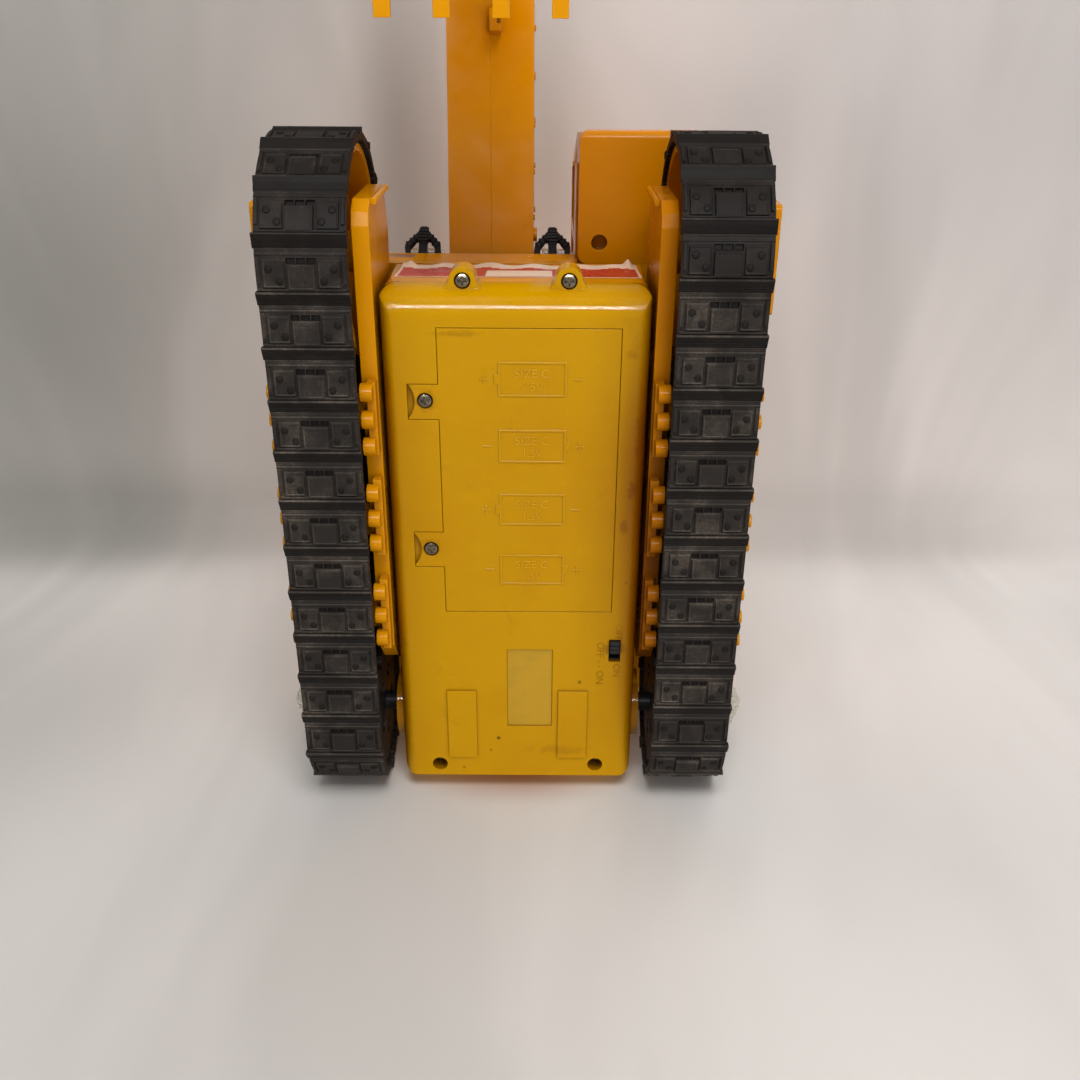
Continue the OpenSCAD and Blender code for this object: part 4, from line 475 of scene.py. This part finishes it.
BAR_CREST = (8, 9)  # its faces with the dusty rim and its painted highlight
GUIDE_TIP = -BELT_T - GUIDE_H
GUIDE_SECTION = [(0.72, GUIDE_ROOT), (0.62, GUIDE_TIP), (0.38, GUIDE_TIP), (0.28, GUIDE_ROOT)]
RIM_STEP = 0.2  # a face with more rise than this is a dusty rim with a painted highlight
SLOPE = 0.16  # half width of the slope at a field's edge


def lines(values, low, high, fill):
    """Sorted grid lines on both sides of every edge, with gaps no wider than fill."""
    marks = {low, high}
    for v in values:
        marks |= {v - SLOPE, v + SLOPE}
    marks = sorted(m for m in marks if low <= m <= high)
    kept = [marks[0]]
    for m in marks[1:]:
        if m - kept[-1] > 0.05:
            n = max(1, math.ceil((m - kept[-1]) / fill))
            kept += [kept[-1] + (m - kept[-1]) * (k + 1) / n for k in range(n)]
    return kept


def face_height(x, u):
    """Height of the shoe's face: the last field that holds (x, u)."""
    found = 0.0
    for x0, x1, u0, u1, h in FIELDS:
        if x0 <= x <= x1 and u0 <= u <= u1:
            found = h
    return found


def track(name, sign, node, phase, seed):
    """One belt on the +X (sign 1) or -X (-1) side, its shoes moved along the loop by phase."""
    rnd = random.Random(seed)
    xs = lines([v for f in FIELDS for v in f[:2]], 0.0, TRACK_W, 6.0)
    us = lines([v for f in FIELDS for v in f[2:4]], 0.0, PITCH, 2.2)[:-1]
    verts, faces, marks = [], [], []

    def put(x, u, o):
        s, h = LOOP(u + phase, o)
        verts.append(at(sign * (TRACK_IN + x), s, h))
        return len(verts) - 1

    def face(ids, mark=FACE):
        faces.append(ids if sign > 0 else ids[::-1])
        marks.append(mark)

    # the faces of all shoes as one closed sheet
    rows = []
    for k in range(SHOES):
        sway = [rnd.uniform(-SWAY, SWAY) for _ in range(3)]
        for u in us:
            row = []
            for x in xs:
                h = face_height(x, u)
                wear = sway[0] * math.sin(x / 6.0 + sway[1] * 20) * WEAR
                row.append((put(x, k * PITCH + u, h + wear), h))
            low = -BELT_T + (INNER_RIB_H if int(u / PITCH * INNER_RIBS * 2) % 2 else 0.0)
            inner = [put(x, k * PITCH + u, low) for x in (0.0, TRACK_W)]
            rows.append((row, inner))
    for (row, inner), (nxt, nin) in zip(rows, rows[1:] + rows[:1]):
        for (a, ha), (b, hb), (c, hc), (d, hd) in zip(row, row[1:], nxt[1:], nxt):
            top, low = max(ha, hb, hc, hd), min(ha, hb, hc, hd)
            face((a, d, c, b), DARK_AND_SHADE if low < 0 else CREST if top - low > RIM_STEP else FACE)
        face((inner[0], nin[0], nxt[0][0], row[0][0]))
        face((row[-1][0], nxt[-1][0], nin[1], inner[1]))
        face((inner[1], nin[1], nin[0], inner[0]))

    def bent(x0, x1, u0, u1, section, mark):
        """A solid bar across the belt. section: its outline (share of its length, height)."""
        rings = [[put(x, u0 + (u1 - u0) * p, o) for p, o in section] for x in (x0, x1)]
        n = len(section)
        for i in range(n):
            j = (i + 1) % n
            face((rings[0][i], rings[0][j], rings[1][j], rings[1][i]), mark(i))
        face(tuple(rings[0][::-1]))
        face(tuple(rings[1]))

    mid = TRACK_W / 2
    turns = [2 * math.pi * i / BOLT_SIDES for i in range(BOLT_SIDES)]
    for k in range(SHOES):
        base = k * PITCH
        ends = rnd.uniform(0.3, 0.6), rnd.uniform(0.3, 0.6)
        bent(-ends[0], TRACK_W + ends[1], base + BAR[0], base + BAR[1], BAR_SECTION,
             lambda i: CREST if i in BAR_CREST else DARK_AND_SHADE if i < BAR_CREST[0] else FACE)
        bent(mid - GUIDE_W / 2, mid + GUIDE_W / 2, base, base + PITCH, GUIDE_SECTION,
             lambda i: FACE)
        for bx, bu in BOLTS:
            rim = [[put(bx + r * math.cos(a), base + bu + r * math.sin(a), o) for a in turns]
                   for r, o in BOLT_DOME]
            for a, b in zip(rim, rim[1:]):
                for i in range(BOLT_SIDES):
                    j = (i + 1) % BOLT_SIDES
                    face((a[i], b[i], b[j], a[j]), DARK_AND_SHADE)
            face(tuple(rim[-1][::-1]), DARK_AND_SHADE)
    obj = piece(name, verts, faces, "chassis", [RUBBER, RUBBER_RIM, RUBBER_DARK],
                marks)
    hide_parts(node)


track("track_belt_left", 1, "track_left", -3.8, 7)
track("track_belt_right", -1, "track_right", 11.1, 8)

# ---------------------------------------------------------------- hub caps and ear roots

HUB_IN = 92.3  # inner end of the cap, from the middle
HUB_LOBES, HUB_SIDES = 9, 108
HUB_TIERS = [  # out from the inner end, radius, height of the lobes
    (0.0, 14.9, 0.0), (2.4, 14.9, 0.0), (2.6, 14.0, 0.0), (2.8, 13.4, 0.5), (4.6, 12.9, 0.9),
    (6.4, 11.9, 1.0), (7.0, 10.2, 0.9), (8.6, 9.4, 0.9), (9.2, 7.4, 0.6), (10.8, 6.2, 0.5),
    (11.2, 4.2, 0.0), (12.2, 3.6, 0.0), (12.6, 2.2, 0.0)]


def rings_closed(base, rings, around, turn):
    """Quads between rings of around vertices each, from number base on; turn -1 flips them."""
    return [[base + n * around + k, base + n * around + (k + 1) % around,
             base + (n + 1) * around + (k + 1) % around, base + (n + 1) * around + k][::turn]
            for n in range(rings) for k in range(around)]


def hubs():
    """Knobbly tiered caps on the drive axle's ends, each tier with nine lobes."""
    verts, faces = [], []
    for sign in (-1, 1):
        base = len(verts)
        for x, r, lobe in HUB_TIERS:
            for k in range(HUB_SIDES):
                a = 2 * math.pi * k / HUB_SIDES
                ra = r + lobe * (2 * abs(math.cos(HUB_LOBES / 2 * a)) ** 0.7 - 1)
                s, h = DRIVE[0] + ra * math.cos(a), DRIVE[1] + ra * math.sin(a)
                verts.append(at(sign * (HUB_IN + x), s, h))
        last = len(HUB_TIERS) - 1
        faces += rings_closed(base, last, HUB_SIDES, -sign)
        faces.append([base + k for k in range(HUB_SIDES)][::sign])
        faces.append([base + last * HUB_SIDES + k for k in range(HUB_SIDES)][::-sign])
    obj = piece("hub_caps", verts, faces, "drive", [HUB])
    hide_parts("drive_hubs")


hubs()

EAR_X, EAR_S = 20.5, -107.0  # the screw ears' centres
FLARE_FROM, FLARE_TO, FLARE_DROP = 6.03, 15.9, 0.12  # their flares' heights, slope of the upper one
FLARE_IN, FLARE_BACK, FLARE_DEEP = 4.9, 3.5, 5.1  # inner and rear edge from the ear's centre, depth


def ear_flares():
    """Concave fillets that spread the screw ears into the nose."""
    steps = 10
    front = FLARE_BACK - FLARE_DEEP
    outline = [(FLARE_IN + 0.2 + 3.5 * (k / steps) ** 2.2, front + FLARE_DEEP * k / steps)
               for k in range(steps + 1)]
    outline += [(FLARE_IN, FLARE_BACK), (FLARE_IN, front)]
    n = len(outline)
    verts, faces = [], []
    for ear in (-EAR_X, EAR_X):
        for side in (-1, 1):
            base = len(verts)
            for h, drop in ((FLARE_FROM, 0.0), (FLARE_TO, FLARE_DROP)):
                verts += [at(ear + side * x, EAR_S + y, h - drop * (x - FLARE_IN))
                          for x, y in outline]
            faces += rings_closed(base, 1, n, side)
            faces.append([base + i for i in range(n)][::-side])
            faces.append([base + n + i for i in range(n)][::side])
    piece("ear_flares", verts, faces, "chassis", [CHASSIS])


ear_flares()

# ---------------------------------------------------------------- screw heads

SCREW_PLACES = ((-EAR_X, EAR_S, 6.0), (EAR_X, EAR_S, 6.0), (-36.0, -60.9, 0.2), (-36.0, 4.5, 0.2))
SCREW_FACE_R, SCREW_DOME, SCREW_PROUD = 2.55, 0.55, 0.05  # radius, dome's height, rim's height
CROSS_R, CROSS_DEEP, CROSS_SLOPE = 1.66, 0.95, 0.25  # reach of the recess, its depth, its slope
CROSS_W, CROSS_FLARE, CROSS_FLARE_R = 0.42, 0.25, 0.9  # half width of its arms, wider at the centre


def screw_faces():
    """Domed pan heads with a cross recess, over the flat heads that show on the underside."""
    rings, around = 22, 96
    verts, faces = [], []
    for x, s, h in SCREW_PLACES:
        base = len(verts)
        for n in range(rings + 1):
            r = SCREW_FACE_R * n / rings
            for k in range(around):
                a = 2 * math.pi * k / around
                u, v = r * math.cos(a), r * math.sin(a)
                wide = CROSS_W + CROSS_FLARE * max(0.0, 1 - r / CROSS_FLARE_R)
                crossed = min(abs(u), abs(v)) <= wide and r <= CROSS_R
                dip = CROSS_DEEP - CROSS_SLOPE * r if crossed else 0.0
                dome = SCREW_DOME * (1 - (r / SCREW_FACE_R) ** 2) + SCREW_PROUD
                verts.append(at(x + u, s + v, h - dome + dip))
        faces += rings_closed(base, rings, around, 1)
    piece("screw_faces", verts, faces, "chassis", [SCREWS])


screw_faces()

# ---------------------------------------------------------------- marks, print and stickers

SUNK = 0.02  # how far a mark reaches into the surface, mm
PRINT_H = 0.02  # thickness of printed ink
SIDEWAYS = math.radians(-90)


def lettering(name, text, x, s, size, raised, material, turn=0.0, thin=0.0):
    """Generic marks on the underside, read from below with the nose up; sizes in mm."""
    curve = bpy.data.curves.new(name, "FONT")
    curve.body, curve.size, curve.extrude, curve.offset = text, size, raised / 2, thin
    curve.align_x, curve.align_y, curve.resolution_u = "CENTER", "CENTER", 3
    drawn = bpy.data.objects.new(name + "_text", curve)
    mesh = bpy.data.meshes.new_from_object(drawn)
    bpy.data.objects.remove(drawn)
    c, d = math.cos(turn), math.sin(turn)
    verts = []
    for v in mesh.vertices:
        a, b = v.co.x * c - v.co.y * d, v.co.x * d + v.co.y * c
        verts.append(at(x + a, s - b, -raised / 2 - v.co.z + SUNK))
    faces = [tuple(p.vertices) for p in mesh.polygons]
    bpy.data.meshes.remove(mesh)
    piece(name, verts, faces, "chassis", [material])


def ink(name, colour, worn, strong):
    """Pad-printed ink that has mostly rubbed away; more of it is left where worn is higher."""
    sh = Shader(name)
    left = sh.ramp(sh.noise(480, 4, 0.7), 0.5 - worn, 0.74 - worn)
    sh.set(Base_Color=sh.mix(sh.noise(900, 2), colour, rgb(96, 62, 16)), Roughness=0.55,
           Alpha=sh.times(left, strong))
    sh.bumps((left, 0.1, 0.0001))
    return sh.mat


def film(name, places, across, body, materials, marks=None):
    """A thin sheet: a grid of points, row by row, across of them in a row."""
    faces = [(r * across + c, r * across + c + 1, (r + 1) * across + c + 1, (r + 1) * across + c)
             for r in range(len(places) // across - 1) for c in range(across - 1)]
    piece(name, places, faces, body, materials, marks)


MARK_X, FIRST_CELL_S, CELL_PITCH = 6.5, -70.0, 28.0
for i in range(4):
    s = FIRST_CELL_S + CELL_PITCH * i
    lettering("cell_mark_size_%d" % i, "SIZE C", MARK_X, s - 2.2, 4.9, 0.3, LIT_LETTERS, thin=-0.09)
    lettering("cell_mark_volts_%d" % i, "1.5V", MARK_X, s + 3.2, 4.7, 0.3, LIT_LETTERS, thin=-0.09)
WORN_INK = ink("worn_print", rgb(70, 44, 12), 0.02, 0.75)
FAINT_INK = ink("faint_print", rgb(118, 78, 14), -0.04, 0.5)
lettering("switch_mark_off", "OFF", 44.6, 45.0, 4.4, PRINT_H, WORN_INK, SIDEWAYS)
lettering("switch_mark_on", "ON", 44.2, 64.6, 4.4, PRINT_H, WORN_INK, SIDEWAYS)
lettering("faint_print", "OFF - - ON", 36.8, 61.0, 4.6, PRINT_H, FAINT_INK, SIDEWAYS)


def spread(start, length, count):
    """count numbers evenly from start over length."""
    return [start + length * k / (count - 1) for k in range(count)]


def rating_plate():
    """A bare tinted label in the sunk field on the underside."""
    xs, ss = spread(-4.2, 19.7, 11), spread(94.7, -40.4, 21)
    sh = Shader("label_film")
    patch = sh.ramp(sh.noise(60, 5, 0.7), 0.4, 0.7)
    sh.set(Base_Color=sh.mix(patch, rgb(184, 140, 4), rgb(172, 134, 14)), Roughness=0.4)
    sh.bumps((sh.noise(220, 4), 0.12, 0.0003))
    places = [at(x, s, 0.62 + 0.02 * math.sin(x * 3 + s)) for s in ss for x in xs]
    film("label_plate", places, len(xs), "chassis", [sh.mat])


rating_plate()


def locker_plate():
    """A dull bare plate in the sunk field at the front of the tool locker."""
    sh = Shader("locker_plate")
    patch = sh.ramp(sh.noise(90, 4, 0.7), 0.4, 0.7)
    sh.set(Base_Color=sh.mix(patch, rgb(168, 128, 104), rgb(140, 100, 80)), Roughness=0.5)
    sh.bumps((sh.noise(300, 3), 0.1, 0.0003))
    front = front_of("tool_locker", -97.6)
    xs, hs = spread(-61.6, 12.5, 21), spread(94.9, 7.5, 7)
    places = [at(x, front(x, h) - 0.05, h) for h in hs for x in xs]
    film("locker_plate", places, len(xs), "house", [sh.mat])


locker_plate()

STICKER_X, STICKER_W = -49.0, 99.0
STICKER_LOW, STICKER_HIGH, STICKER_FREE = 24.5, 56.5, 44.0  # its edge lifts above the last height
STICKER_GAP = 0.1
CORNER_LIFTS = ((-45.5, 1.6, 1.6), (46.5, 2.4, 1.4))  # x, how far it peels there, width
PLATE_X, PLATE_H = (-12.6, 14.1), (27.6, 42.4)  # the bare white bar


def lifted(x, h, waves):
    """How far the sticker stands off the chassis."""
    crease = 0.5 + 0.5 * sum(math.sin(x * f + p) for f, p in waves) / 2.4
    peel = sum(far * math.exp(-((x - middle) / width) ** 2) for middle, far, width in CORNER_LIFTS)
    share = max(0.0, (h - STICKER_FREE) / (STICKER_HIGH - STICKER_FREE))
    return STICKER_GAP + (max(0.0, crease) + peel) * share ** 1.6


def is_white(x, h):
    """On the sticker's wavy upper band, its lower and side rims, or the bare bar."""
    band = h > 48.0 + 1.2 * math.sin(x * 0.35)
    rim = h < STICKER_LOW + 0.9 or abs(x - 0.5) > 48.6
    return band or rim or (PLATE_X[0] < x < PLATE_X[1] and PLATE_H[0] < h < PLATE_H[1])


def front_sticker():
    """Red sticker round the front of the chassis, its upper edge creased and lifting."""
    front = front_of("chassis_top", -104.0)
    rnd = random.Random(5)
    waves = [(rnd.uniform(0.10, 0.42), rnd.uniform(0, 6.28)) for _ in range(4)]
    xs = spread(STICKER_X, STICKER_W, 181)
    hs = spread(STICKER_LOW, STICKER_HIGH - STICKER_LOW, 24)
    places = [at(x, front(x, h) - lifted(x, h, waves), h) for h in hs for x in xs]
    marks = [int(is_white((x + x1) / 2, (h + h1) / 2))
             for h, h1 in zip(hs, hs[1:]) for x, x1 in zip(xs, xs[1:])]
    red = moulded("sticker_red", rgb(178, 38, 22), rgb(150, 34, 24), rgb(206, 84, 62), 0.28,
                  dirty=0.35, soft=None)
    white = moulded("sticker_white", rgb(226, 200, 176), rgb(206, 172, 142), rgb(240, 226, 210),
                    0.35, dirty=0.35, soft=None)
    film("front_sticker", places, len(xs), "chassis", [red, white], marks)


front_sticker()

# ---------------------------------------------------------------- camera, stage and light

# Fitted to the photo: angle off straight below, distance and sideways aim (mm), roll
TILT, REACH, SIGHT_X, ROLL = math.radians(26.0), 454.0, 9.9, math.radians(0.35)
ahead = Vector((0, math.sin(TILT), math.cos(TILT)))
level, below = Vector((1, 0, 0)), Vector((0, math.cos(TILT), -math.sin(TILT)))
cam_right = level * math.cos(ROLL) - below * math.sin(ROLL)
cam_down = level * math.sin(ROLL) + below * math.cos(ROLL)
camera = placed("camera", bpy.data.cameras.new("camera"))
axes = Matrix((cam_right, -cam_down, -ahead)).transposed().to_4x4()
eye = at(SIGHT_X, 0, 0) - ahead * REACH * MM
camera.matrix_world = Matrix.Translation(eye) @ axes
camera.data.sensor_width = camera.data.lens = 36.0
camera.data.clip_start, camera.data.clip_end = 0.01, 20.0
bpy.context.scene.camera = camera

REST_S, WALL_H, SWEEP_R, FAR = 131.0, 268.0, 34.0, 1300.0  # floor, wall, curve between, edges
# soft patches of painted shade on the cloth; the last is a painted shadow under the tail, warmed
# with painted reflected yellow
CLOTH_PAINTED_SHADE = [
    ((-75, -120, 268), (40, 190, 60), 0.55, rgb(120, 112, 106)),
    ((-290, -40, 268), (130, 150, 60), 0.4, rgb(120, 120, 116)),
    ((-286, 118, 262), (180, 60, 60), 0.45, rgb(110, 112, 108)),
    ((240, 118, 262), (200, 50, 50), 0.3, rgb(150, 146, 144)),
    ((250, -150, 268), (330, 260, 60), 0.4, rgb(160, 156, 158)),
    ((-260, 131, 60), (150, 60, 150), 0.35, rgb(150, 148, 146)),
    ((190, 131, -30), (170, 60, 170), 0.25, rgb(176, 172, 172)),
    ((0, 131, 9), (62, 20, 24), 0.6, rgb(150, 92, 40))]


def cloth():
    """Pale cloth with soft folds and painted shade: darker on the wall, towards -X and along the
    folds, with soft patches of painted shade and a painted shadow under the tail.
    """
    sh = Shader("backdrop_cloth")
    folds = sh.noise(3.0, 3, 0.5, sh.stretched((2.4, 0.8, 0.8), (0.0, 0.0, 0.75)), 0.5)
    parts = sh.axes(sh.place)
    # painted shade: darker towards -X, most of all on the wall
    side = sh.ramp(parts["X"], -0.5, 0.12)
    wall = sh.ramp(parts["Z"], 0.20, 0.285)
    pale = sh.mix(wall, rgb(214, 210, 207), rgb(214, 208, 205))
    deep = sh.mix(wall, rgb(196, 193, 190), rgb(160, 158, 154))
    col = sh.mix(side, deep, pale)
    # painted shade along the folds, deeper on the wall
    fold_shade = sh.mix(wall, rgb(182, 179, 176), rgb(140, 139, 135))
    col = sh.mix(sh.ramp(folds, 0.38, 0.62, 0.0, 0.35), col, fold_shade)
    for place, size, amount, tint in CLOTH_PAINTED_SHADE:
        col = sh.mix(sh.near(place, size, low=0.0, value=amount), col, tint)
    sh.set(Base_Color=col, Roughness=0.95, Specular_IOR_Level=0.1)
    sh.bumps((folds, 0.5, 0.03), (sh.noise(40, 4), 0.05, 0.002))
    # clear from behind, so that the toy can be looked at from the floor's and the wall's side
    back = sh.add("ShaderNodeNewGeometry").outputs["Backfacing"]
    both = sh.add("ShaderNodeMixShader", Fac=back)
    sh.put(both.inputs[1], sh.bsdf.outputs[0])
    sh.put(both.inputs[2], sh.add("ShaderNodeBsdfTransparent").outputs[0])
    sh.put(sh.out.inputs["Surface"], both.outputs[0])
    return sh.mat


def backdrop():
    """A sweep: the floor stands behind the toy's tail, the wall above its roof."""
    profile = [(REST_S, h) for h in (-900.0, -500.0, -100.0, 60.0, 150.0)]
    for a in spread(0.0, math.pi / 2, 9):
        s, h = REST_S - SWEEP_R * (1 - math.cos(a)), WALL_H - SWEEP_R * (1 - math.sin(a))
        profile.append((s, h))
    profile += [(s, WALL_H) for s in (-200.0, -700.0, -FAR)]
    xs = [-FAR, -600.0, -200.0, 200.0, 600.0, FAR]
    n = len(xs)
    faces = [(r * n + c, r * n + c + 1, (r + 1) * n + c + 1, (r + 1) * n + c)
             for r in range(len(profile) - 1) for c in range(n - 1)]
    mesh = bpy.data.meshes.new("backdrop")
    mesh.from_pydata([tuple(at(x, s, h)) for s, h in profile for x in xs], [], faces)
    mesh.polygons.foreach_set("use_smooth", [True] * len(mesh.polygons))
    mesh.update()
    if mesh.polygons[0].normal.y > 0:
        mesh.flip_normals()
    mesh.materials.append(cloth())
    obj = placed("backdrop", mesh)
    obj.visible_shadow = False


backdrop()


def lamp(name, place, aim, size, watts, tint=(1, 1, 1), glint=0.0):
    """A soft disk, or with glint (its height, m) a bar that only gloss shows."""
    data = bpy.data.lights.new(name, "AREA")
    data.shape, data.size, data.energy, data.color = "DISK", size, watts, tint
    if glint:
        data.shape, data.size_y = "RECTANGLE", glint
    obj = placed(name, data)
    obj.location = Vector(place)
    obj.rotation_mode = "QUATERNION"
    obj.rotation_quaternion = (Vector(aim) - Vector(place)).to_track_quat("-Z", "Y")
    obj.visible_camera = False
    obj.visible_diffuse = not glint
    obj.visible_glossy = bool(glint)


lamp("key", (0.1, -1.1, -0.6), (0, 0.02, 0.05), 0.7, 12.5, (1.0, 0.99, 0.97))
lamp("glint", (0.0, -0.67, -1.04), (0, 0, 0.02), 1.3, 22.0, glint=0.035)
lamp("front", (0.5, 0.1, -1.2), (0, 0.05, 0.05), 1.0, 6.0)
lamp("top", (0.3, -0.3, 1.3), (0, 0, 0.1), 1.0, 10.0)
lamp("rear", (-0.5, 1.1, 0.7), (0, 0.1, 0.1), 1.0, 10.0)
world = bpy.data.worlds.new("room")
bpy.context.scene.world = world
world.use_nodes = True
sky = world.node_tree.nodes["Background"]
sky.inputs["Color"].default_value = rgb(226, 224, 222)
sky.inputs["Strength"].default_value = 0.5
bpy.context.scene.view_settings.view_transform = "Standard"
